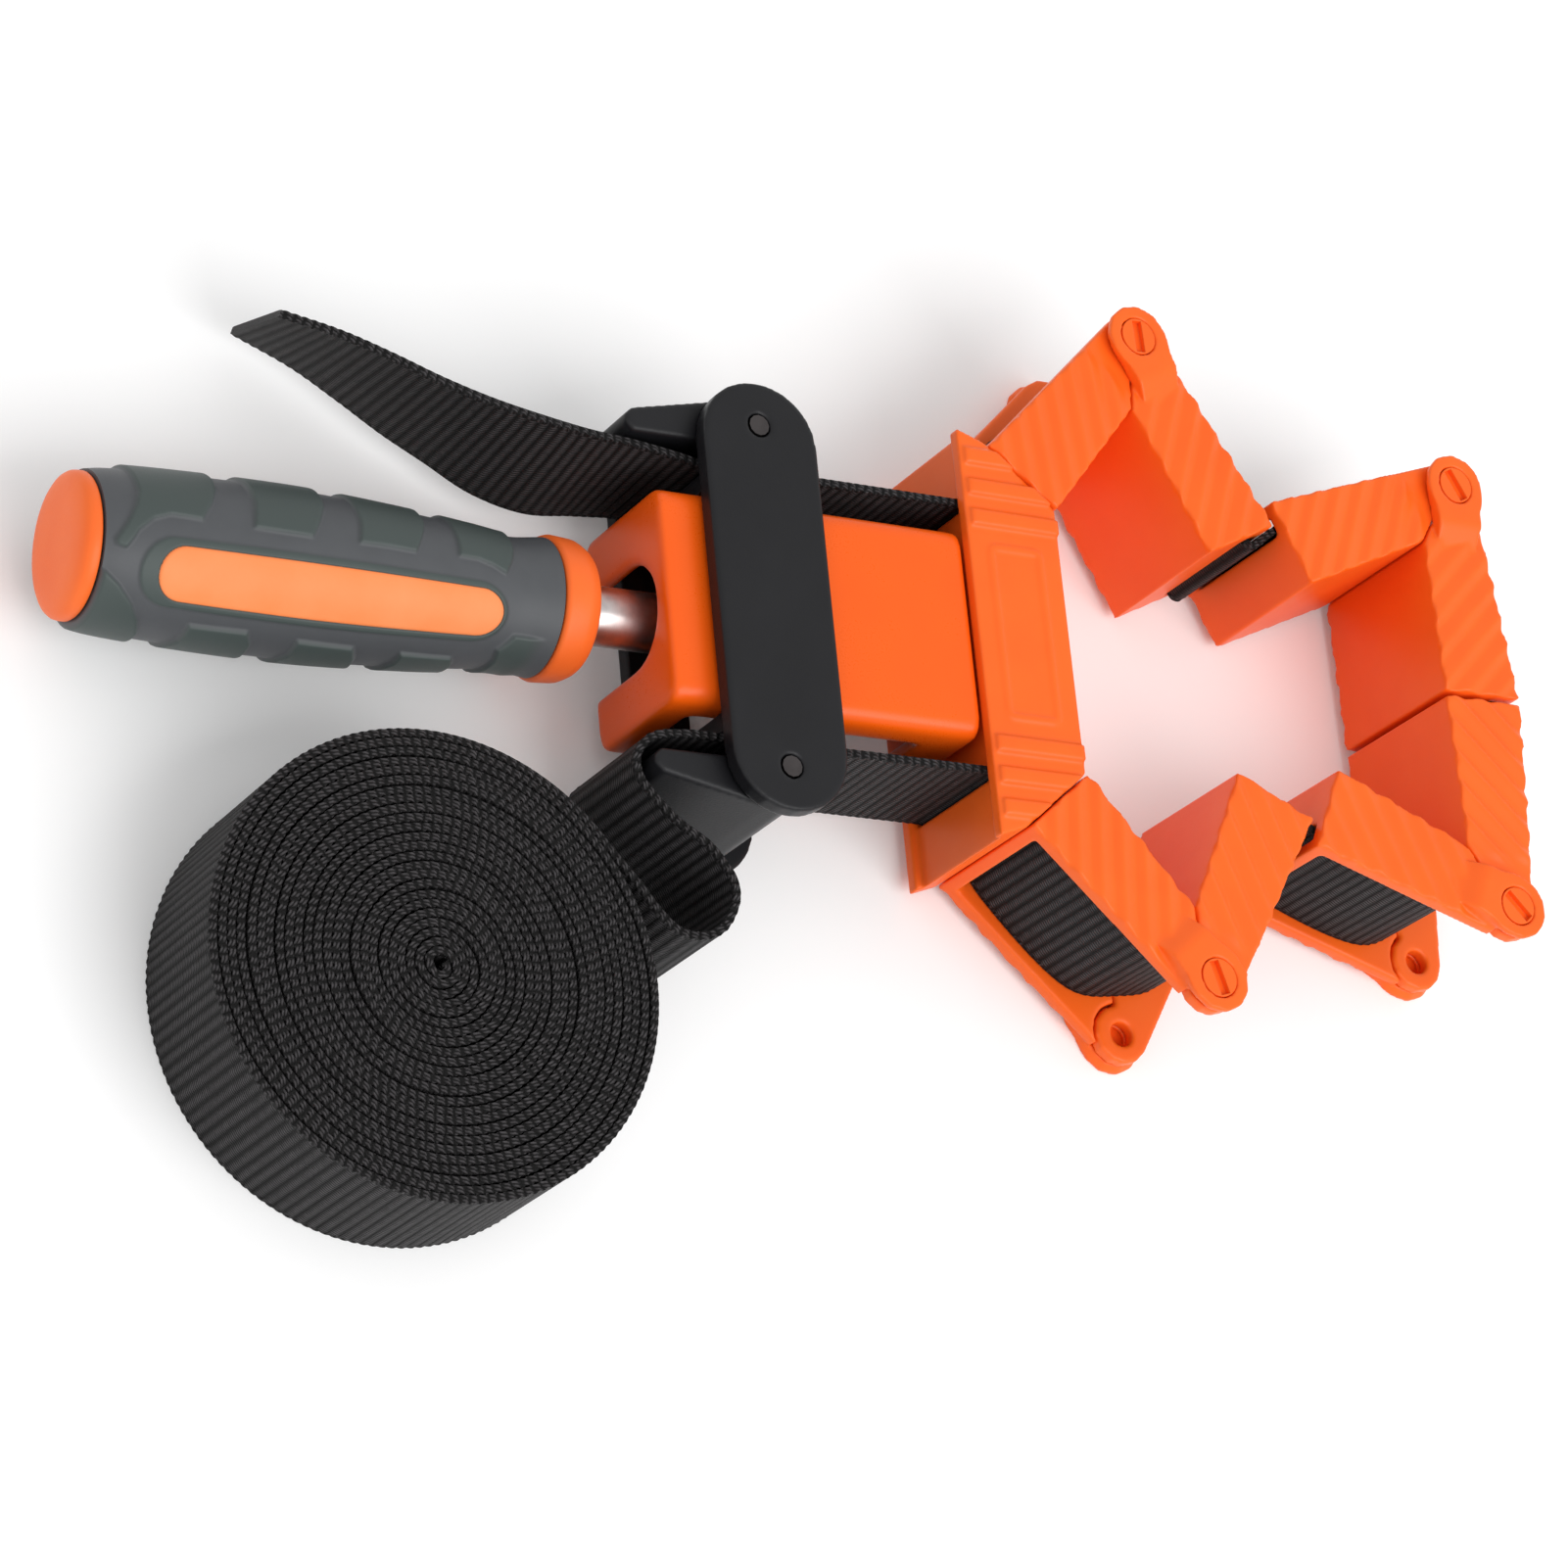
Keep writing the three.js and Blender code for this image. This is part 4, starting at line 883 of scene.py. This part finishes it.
@dataclass
class Grip:
    """The screwdriver-like grip: an orange core in a grey sleeve with raised pads, in millimetres."""

    palette: Palette
    sleeve_front: float = -98.1
    sleeve_rear: float = -180.9
    waypoints: tuple[tuple[float, float], ...] = (
        (0, 12.7), (0.03, 13.1), (0.12, 13.6), (0.45, 14), (0.72, 12.8), (0.83, 12), (0.92, 11.3), (1, 12)
    )
    rings: int = 300
    steps: int = 300
    middle_radius: float = 13.4
    inlay_turns: tuple[float, float] = (35, 215)
    inlay_middle: float = -140.3
    inlay_length: float = 62.8
    inlay_width: float = 9.4
    inlay_rise: float = 0.42
    lip_middle: float = -141.5
    lip_length: float = 66.4
    lip_width: float = 11.5
    lip_height: float = 0.35
    lip_edge: float = 0.45
    window_depth: float = 1.2
    window_ease: float = 0.5
    bore_radius: float = 9.8
    skin_from: float = 10.5
    end_fade: float = 0.5
    pad_height: float = 0.7
    pad_edge: float = 0.6
    collar_profile: tuple[tuple[float, float], ...] = (
        (-97.8, 9.8), (-97.8, 11.7), (-97.7, 12.1), (-97.4, 12.45), (-96.9, 12.6), (-93.6, 12.35), (-93.1, 12.25),
        (-92.4, 11.95), (-91.3, 11.35), (-90.8, 10.9), (-90.55, 10.4), (-90.5, 9.9), (-90.5, 5.5), (-91.5, 5.3),
    )
    cap_profile: tuple[tuple[float, float], ...] = (
        (-184.7, 0), (-184.68, 3.5), (-184.6, 7), (-184.4, 9.5), (-184.0, 11.0), (-183.5, 11.8), (-182.9, 12.2),
        (-182.2, 12.3), (-181.5, 12.3), (-181.2, 12.1), (-181.2, 9),
    )
    outline: list[tuple[float, float]] = field(default_factory=list)

    def sleeve_outline(self) -> list[tuple[float, float]]:
        """The sleeve's outline at even steps, as pairs of place and radius."""
        length = self.sleeve_front - self.sleeve_rear
        places = [Vector((self.sleeve_rear + share * length, radius, 0)) for share, radius in self.waypoints]
        points = even_steps(smooth_route(places), length / self.rings)
        return [(point.x, point.y) for point in points]

    def radius_at(self, along: float) -> float:
        """The sleeve's plain radius at a place along the axis."""
        for (x0, r0), (x1, r1) in zip(self.outline, self.outline[1:]):
            if x0 <= along <= x1:
                return r0 + (r1 - r0) * (along - x0) / (x1 - x0)
        return self.outline[-1][1]

    def from_slot(self, along: float, around: float, length: float, width: float) -> float:
        """Distance out from a long round-ended outline about the origin, negative inside it."""
        past = max(abs(along) - (length - width) / 2, 0.0)
        return math.hypot(past, around) - width / 2

    def relief(self, along: float, turn: float, pads: Sequence[Shape]) -> tuple[float, float]:
        """How far the sleeve stands out or in at a place.

        Args:
            along: The place along the axis.
            turn: The turn about the axis, in degrees.
            pads: The pads that reach this place along the axis, with their outlines.

        Returns:
            The height over the plain sleeve, and how much of it is pad or lip, from 0 to 1.
        """
        height = share = 0.0
        for middle in self.inlay_turns:
            around = math.radians((turn - middle + 180) % 360 - 180) * self.middle_radius
            edge = self.from_slot(along - self.lip_middle, around, self.lip_length, self.lip_width)
            lip = smooth_step(0.5 - edge / self.lip_edge)
            gap = self.from_slot(along - self.inlay_middle, around, self.inlay_length, self.inlay_width)
            height += self.lip_height * lip - self.window_depth * smooth_step((-gap - 0.1) / self.window_ease)
            share = max(share, lip)
        for pad, outline in pads:
            around = math.radians((turn - pad.row + 180) % 360 - 180) * self.middle_radius
            raised = smooth_step(0.5 - from_outline(outline, along, around) / self.pad_edge)
            raised *= 1 - smooth_step((along - pad.fade_from) / (pad.fade_to - pad.fade_from))
            height += self.pad_height * raised
            share = max(share, raised)
        return height, share

    def sleeve(self) -> None:
        """Makes the grey sleeve: a turned skin whose points are moved out into the pads and in at the inlays."""
        rear, front = self.outline[0], self.outline[-1]
        profile = [
            (rear[0], self.bore_radius), (rear[0], rear[1] - 0.4), *self.outline, (front[0], front[1] - 0.3),
            (front[0], self.bore_radius), (rear[0], self.bore_radius),
        ]
        mesh = turn_profile(profile, self.steps)
        layer = mesh.verts.layers.float.new("pad")
        shapes = [(pad, pad.outline(self.middle_radius)) for pad in PADS]
        reach = [(min(x for x, _ in outline) - 1, max(x for x, _ in outline) + 1) for _, outline in shapes]
        near: dict[float, list[Shape]] = {}
        for vert in mesh.verts:
            radius = math.hypot(vert.co.y, vert.co.z) / MM
            if radius < self.skin_from:
                continue
            along = vert.co.x / MM
            key = round(along, 3)
            if key not in near:
                near[key] = [shape for shape, (low, high) in zip(shapes, reach) if low < along < high]
            turn = math.degrees(math.atan2(-vert.co.y, vert.co.z))
            height, share = self.relief(along, turn, near[key])
            fade = smooth_step((along - rear[0]) / self.end_fade) * smooth_step((front[0] - along) / self.end_fade)
            vert[layer] = share * fade
            vert.co.y *= 1 + height * fade / radius
            vert.co.z *= 1 + height * fade / radius
        finish_mesh("grip_sleeve", mesh, self.palette.rubber, "handle", ["grip_overmould"], crease=70)

    def inlay(self, name: str, turn: float) -> None:
        """Makes one long orange inlay that fills its window in the sleeve.

        Args:
            name: The piece's name.
            turn: Its turn about the axis, in degrees.
        """
        half, wide = self.inlay_length / 2, self.inlay_width / 2
        mesh = bmesh.new()
        bmesh.ops.create_grid(mesh, x_segments=160, y_segments=28, size=1)
        for vert in mesh.verts:
            u, v = vert.co.x, vert.co.y
            along = half * math.sin(u * math.pi / 2) * 0.35 + half * u * 0.65
            past = max(abs(along) - (half - wide), 0.0)
            around = math.sqrt(max(wide ** 2 - past ** 2, 0.0)) * math.sin(v * math.pi / 2)
            inside = -self.from_slot(along, around, self.inlay_length, self.inlay_width)
            radius = self.radius_at(self.inlay_middle + along) + self.inlay_rise
            radius -= 0.4 * (1 - smooth_step(inside / 0.7)) ** 2
            angle = math.radians(turn) + around / self.middle_radius
            vert.co = Vector((self.inlay_middle + along, -radius * math.sin(angle), radius * math.cos(angle))) * MM
        bmesh.ops.remove_doubles(mesh, verts=mesh.verts, dist=0.02 * MM)
        inner = bmesh.ops.extrude_face_region(mesh, geom=mesh.faces[:])["geom"]
        for vert in (item for item in inner if isinstance(item, bmesh.types.BMVert)):
            share = 1 - 1.2 * MM / math.hypot(vert.co.y, vert.co.z)
            vert.co.y *= share
            vert.co.z *= share
        finish_mesh(name, mesh, self.palette.inlay, "handle", ["grip_core"], crease=50)

    def build(self) -> None:
        """Makes the whole grip."""
        self.outline = self.sleeve_outline()
        self.sleeve()
        for number, turn in enumerate(self.inlay_turns, start=1):
            self.inlay(f"grip_inlay_{number}", turn)
        for name, profile, node in (
            ("grip_collar", self.collar_profile, "grip_core"), ("grip_end", self.cap_profile, "end_cap")
        ):
            finish_mesh(name, turn_profile(profile, 160), self.palette.collar, "handle", [node])


# Moulded bodies


@dataclass
class Mouldings:
    """The block, the housing, the crosshead, the levers and the folding corners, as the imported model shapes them.

    Lengths are in millimetres.
    """

    palette: Palette
    nodes: dict[str, bpy.types.Object]
    side_face: float = 15.6
    half_grain: float = 0.38
    boss_radius: float = 7.0
    neck: float = 6.0
    ridge_pitch: float = 4.53
    ridge_height: float = 0.85
    crest_place: float = 0.6
    ear_rise: float = 0.7
    ear_top_rise: float = 1.2
    face_slack: float = 0.15
    flat_slack: float = 0.05
    merge: float = 0.06
    packed_hole: float = 3.3
    head_hole: float = 3.75
    head_radius: float = 3.5
    head_depth: float = 1.4
    head_top: float = 18.15
    slot_reach: float = 3.1
    slot_width: float = 1.9
    slot_depth: float = 1.1

    def dress(self, names: Iterable[str], material: bpy.types.Material) -> None:
        """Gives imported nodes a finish."""
        for name in names:
            node = self.nodes[name]
            for slot in node.material_slots:
                slot.material = material
            log.info("%s dressed in %s", name, material.name)

    def soften(self, name: str, body: str, material: bpy.types.Material, grain: float, passes: int,
               reshape: Callable[[Vector], Vector] | None = None) -> None:
        """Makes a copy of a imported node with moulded, rounded edges.

        Args:
            name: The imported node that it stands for.
            body: The body it rides on.
            material: Its finish.
            grain: The size of its faces, in millimetres.
            passes: How many times its edges are eased.
            reshape: Moves each point of the evenly meshed copy before its edges are eased.
        """
        copy = add_object(f"{name}_moulding", self.nodes[name].data.copy())
        remesh = copy.modifiers.new("even_faces", "REMESH")
        remesh.mode = "VOXEL"
        remesh.voxel_size = grain * MM
        graph = bpy.context.evaluated_depsgraph_get()
        even = bpy.data.meshes.new_from_object(copy.evaluated_get(graph))
        copy.modifiers.clear()
        mesh = bmesh.new()
        mesh.from_mesh(even)
        if reshape:
            for vert in mesh.verts:
                vert.co = reshape(vert.co)
            bmesh.ops.remove_doubles(mesh, verts=mesh.verts, dist=self.merge * MM)
        for _ in range(passes):
            bmesh.ops.smooth_vert(mesh, verts=mesh.verts, factor=0.5, use_axis_x=True, use_axis_y=True,
                                  use_axis_z=True)
        mesh.to_mesh(even)
        mesh.free()
        copy.data = even
        even.shade_smooth()
        even.materials.clear()
        even.materials.append(material)
        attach(copy, body)
        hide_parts(name)
        log.info("%s: %d faces on %s", copy.name, len(even.polygons), body)

    def half(self, number: int, piece: str) -> None:
        """Makes one half of a folding corner, with its moulded ridges and its hinge boss.

        Args:
            number: The corner's number.
            piece: "tongue" or "fork".
        """
        hinge = HINGES[number]
        turn = math.radians(hinge.tongue if piece == "tongue" else hinge.fork)
        lean = 1 if piece == "tongue" else -1

        def reshape(point: Vector) -> Vector:
            """Moves one point: the pin's hole wider in the boss, ridges and the ear's slope beyond it."""
            x, y = point.x / MM - hinge.x, point.y / MM - hinge.y
            u = x * math.cos(turn) + y * math.sin(turn)
            v = y * math.cos(turn) - x * math.sin(turn)
            rise = abs(point.z) / MM - self.side_face
            distance = math.hypot(u, v)
            if piece == "fork" and rise > self.ear_top_rise and distance < self.boss_radius:
                wide = smooth_step((self.boss_radius - distance) / 2)
                share = 1 + wide * (self.head_hole / self.packed_hole - 1)
                return Vector(((hinge.x + x * share) * MM, (hinge.y + y * share) * MM, point.z))
            if rise < -self.face_slack or distance < self.boss_radius:
                return point
            kept = 0.0 if rise < self.ear_rise else rise * (1 - smooth_step((u - self.boss_radius) / self.neck))
            phase = ((u - lean * v) * math.sqrt(0.5) / self.ridge_pitch + hinge.phase) % 1
            crest = phase / self.crest_place if phase < self.crest_place else (1 - phase) / (1 - self.crest_place)
            ridge = self.ridge_height * crest * smooth_step((u - self.boss_radius - 1) / 3)
            height = self.side_face + (max(kept, ridge) if rise > -self.flat_slack else rise)
            return Vector((point.x, point.y, math.copysign(height * MM, point.z)))

        self.soften(f"corner_{number}_{piece}", f"corner_{number}_{piece}_half", self.palette.orange,
                    self.half_grain, 3, reshape)

    def pin(self, number: int, end: str) -> None:
        """Makes one slotted hinge pin's head.

        Args:
            number: The corner's number.
            end: "top" or "bottom".
        """
        hinge = HINGES[number]
        face = 1 if end == "top" else -1
        mesh = bmesh.new()
        bmesh.ops.create_cone(mesh, cap_ends=True, segments=64, radius1=self.head_radius, radius2=self.head_radius,
                              depth=self.head_depth)
        for normal, reach in (
            (Vector((1, 0, 0)), self.slot_reach), (Vector((-1, 0, 0)), self.slot_reach),
            (Vector((0, 1, 0)), self.slot_width / 2), (Vector((0, -1, 0)), self.slot_width / 2),
        ):
            bmesh.ops.bisect_plane(mesh, geom=[*mesh.verts, *mesh.edges, *mesh.faces], plane_co=normal * reach,
                                   plane_no=normal)
        top = [
            item for item in mesh.faces
            if item.normal.z > 0.9 and abs(item.calc_center_median().x) < self.slot_reach
            and abs(item.calc_center_median().y) < self.slot_width / 2
        ]
        sunk = bmesh.ops.extrude_face_region(mesh, geom=top)["geom"]
        bmesh.ops.delete(mesh, geom=top, context="FACES_ONLY")
        bmesh.ops.translate(mesh, verts=[item for item in sunk if isinstance(item, bmesh.types.BMVert)],
                            vec=(0, 0, -self.slot_depth))
        place = Matrix.Translation(Vector((hinge.x, hinge.y, face * (self.head_top - self.head_depth / 2))) * MM)
        turn = Matrix.Rotation(math.radians(hinge.slot), 4, "Z") @ Matrix.Scale(MM, 4)
        flip = Matrix.Rotation(math.pi if face < 0 else 0.0, 4, "X")
        bmesh.ops.transform(mesh, matrix=place @ turn @ flip, verts=mesh.verts)
        name = f"corner_{number}_pin_{end}"
        finish_mesh(f"{name}_head", mesh, self.palette.orange, f"corner_{number}_fork_half", [name])

    def build(self) -> None:
        """Dresses or softens every moulding."""
        self.soften("housing", "housing_body", self.palette.shell, 0.5, 14)
        self.soften("front_block", "housing_body", self.palette.orange, 0.36, 2)
        for plate in ("top_plate", "bottom_plate"):
            self.soften(plate, "crosshead", self.palette.black, 0.4, 3)
        for side in Side:
            word = side.name.lower()
            self.soften(f"lever_{word}", f"{word}_lever", self.palette.black, 0.42, 3)
        for number in HINGES:
            for piece in ("tongue", "fork"):
                self.half(number, piece)
            for end in ("top", "bottom"):
                self.pin(number, end)
        self.dress(("anvil_left", "anvil_right"), self.palette.black)
        self.dress(("crossbar", "thrust_washer"), self.palette.steel)
        self.dress(("lever_pin_left", "lever_pin_right"), self.palette.rivet)


# Camera, light and floor


@dataclass
class Studio:
    """A white table under plain soft light, and the photograph's point of view."""

    eye: Vector = field(default_factory=lambda: Vector((-0.49069, -0.34532, 0.71472)))
    forward: Vector = field(default_factory=lambda: Vector((0.4891, 0.35496, -0.79674)))
    up: Vector = field(default_factory=lambda: Vector((-0.10274, 0.93053, 0.35150)))
    lens: float = 120.2
    floor_height: float = -18.25 * MM
    floor_half: float = 3.0
    floor_glow: float = 0.1
    sky: float = 0.78
    key: float = 9.5
    lamp_size: tuple[float, float] = (1.1, 0.8)
    lamp_place: Vector = field(default_factory=lambda: Vector((0.3, -0.75, 1.0)))
    lamp_aim: Vector = field(default_factory=lambda: Vector((-0.04, 0, 0)))

    def camera(self) -> None:
        """Sets the camera."""
        data = bpy.data.cameras.new("camera")
        data.sensor_width = 36
        data.lens = self.lens
        data.clip_start = 0.05
        made = add_object("camera", data)
        back = -self.forward.normalized()
        right = self.up.cross(back).normalized()
        upright = back.cross(right)
        made.matrix_world = Matrix.Translation(self.eye) @ Matrix((right, upright, back)).transposed().to_4x4()
        bpy.context.scene.camera = made

    def light(self) -> None:
        """Sets the world and one large soft lamp."""
        world = bpy.data.worlds.new("sky")
        bpy.context.scene.world = world
        graph = Graph(world)
        background = graph.node("ShaderNodeBackground", Color=(1.0, 1.0, 1.0, 1.0), Strength=self.sky)
        graph.node("ShaderNodeOutputWorld", Surface=background.outputs["Background"])
        data = bpy.data.lights.new("softbox", "AREA")
        data.shape = "RECTANGLE"
        data.size, data.size_y = self.lamp_size
        data.energy = self.key
        aim = (self.lamp_aim - self.lamp_place).normalized()
        lamp = add_object("softbox", data)
        lamp.matrix_world = Matrix.Translation(self.lamp_place) @ aim.to_track_quat("-Z", "Y").to_matrix().to_4x4()

    def floor(self) -> None:
        """Lays the white table."""
        graph = Graph(bpy.data.materials.new("white_table"))
        path = graph.node("ShaderNodeLightPath").outputs
        seen = graph.number(path["Is Camera Ray"]) + path["Is Glossy Ray"] + path["Is Transmission Ray"]
        matt = graph.node("ShaderNodeBsdfDiffuse", Color=(0.93, 0.93, 0.93, 1.0))
        glow = graph.node("ShaderNodeEmission", Color=(1.0, 1.0, 1.0, 1.0), Strength=seen.unit() * self.floor_glow)
        both = graph.node("ShaderNodeAddShader")
        for socket, shader in zip(both.inputs, (matt, glow)):
            graph.feed(socket, shader.outputs[0])
        graph.node("ShaderNodeOutputMaterial", Surface=both.outputs[0])
        mesh = bmesh.new()
        bmesh.ops.create_grid(mesh, x_segments=1, y_segments=1, size=self.floor_half)
        bmesh.ops.translate(mesh, verts=mesh.verts, vec=(0, 0, self.floor_height))
        data = bpy.data.meshes.new("table")
        mesh.to_mesh(data)
        mesh.free()
        data.materials.append(graph.owner)
        add_object("table", data)

    def build(self) -> None:
        """Sets the scene's view, camera, light and floor."""
        bpy.context.scene.view_settings.view_transform = "Standard"
        self.camera()
        self.light()
        self.floor()


def main() -> None:
    """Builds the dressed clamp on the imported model."""
    logging.basicConfig(level=logging.INFO, format="%(asctime)s %(message)s")
    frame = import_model()
    Studio().build()
    palette = Palette()
    Mouldings(palette, frame["nodes"]).build()
    Screw(palette).build()
    Grip(palette).build()
    Band(palette).build()


if __name__ == "__main__":
    main()
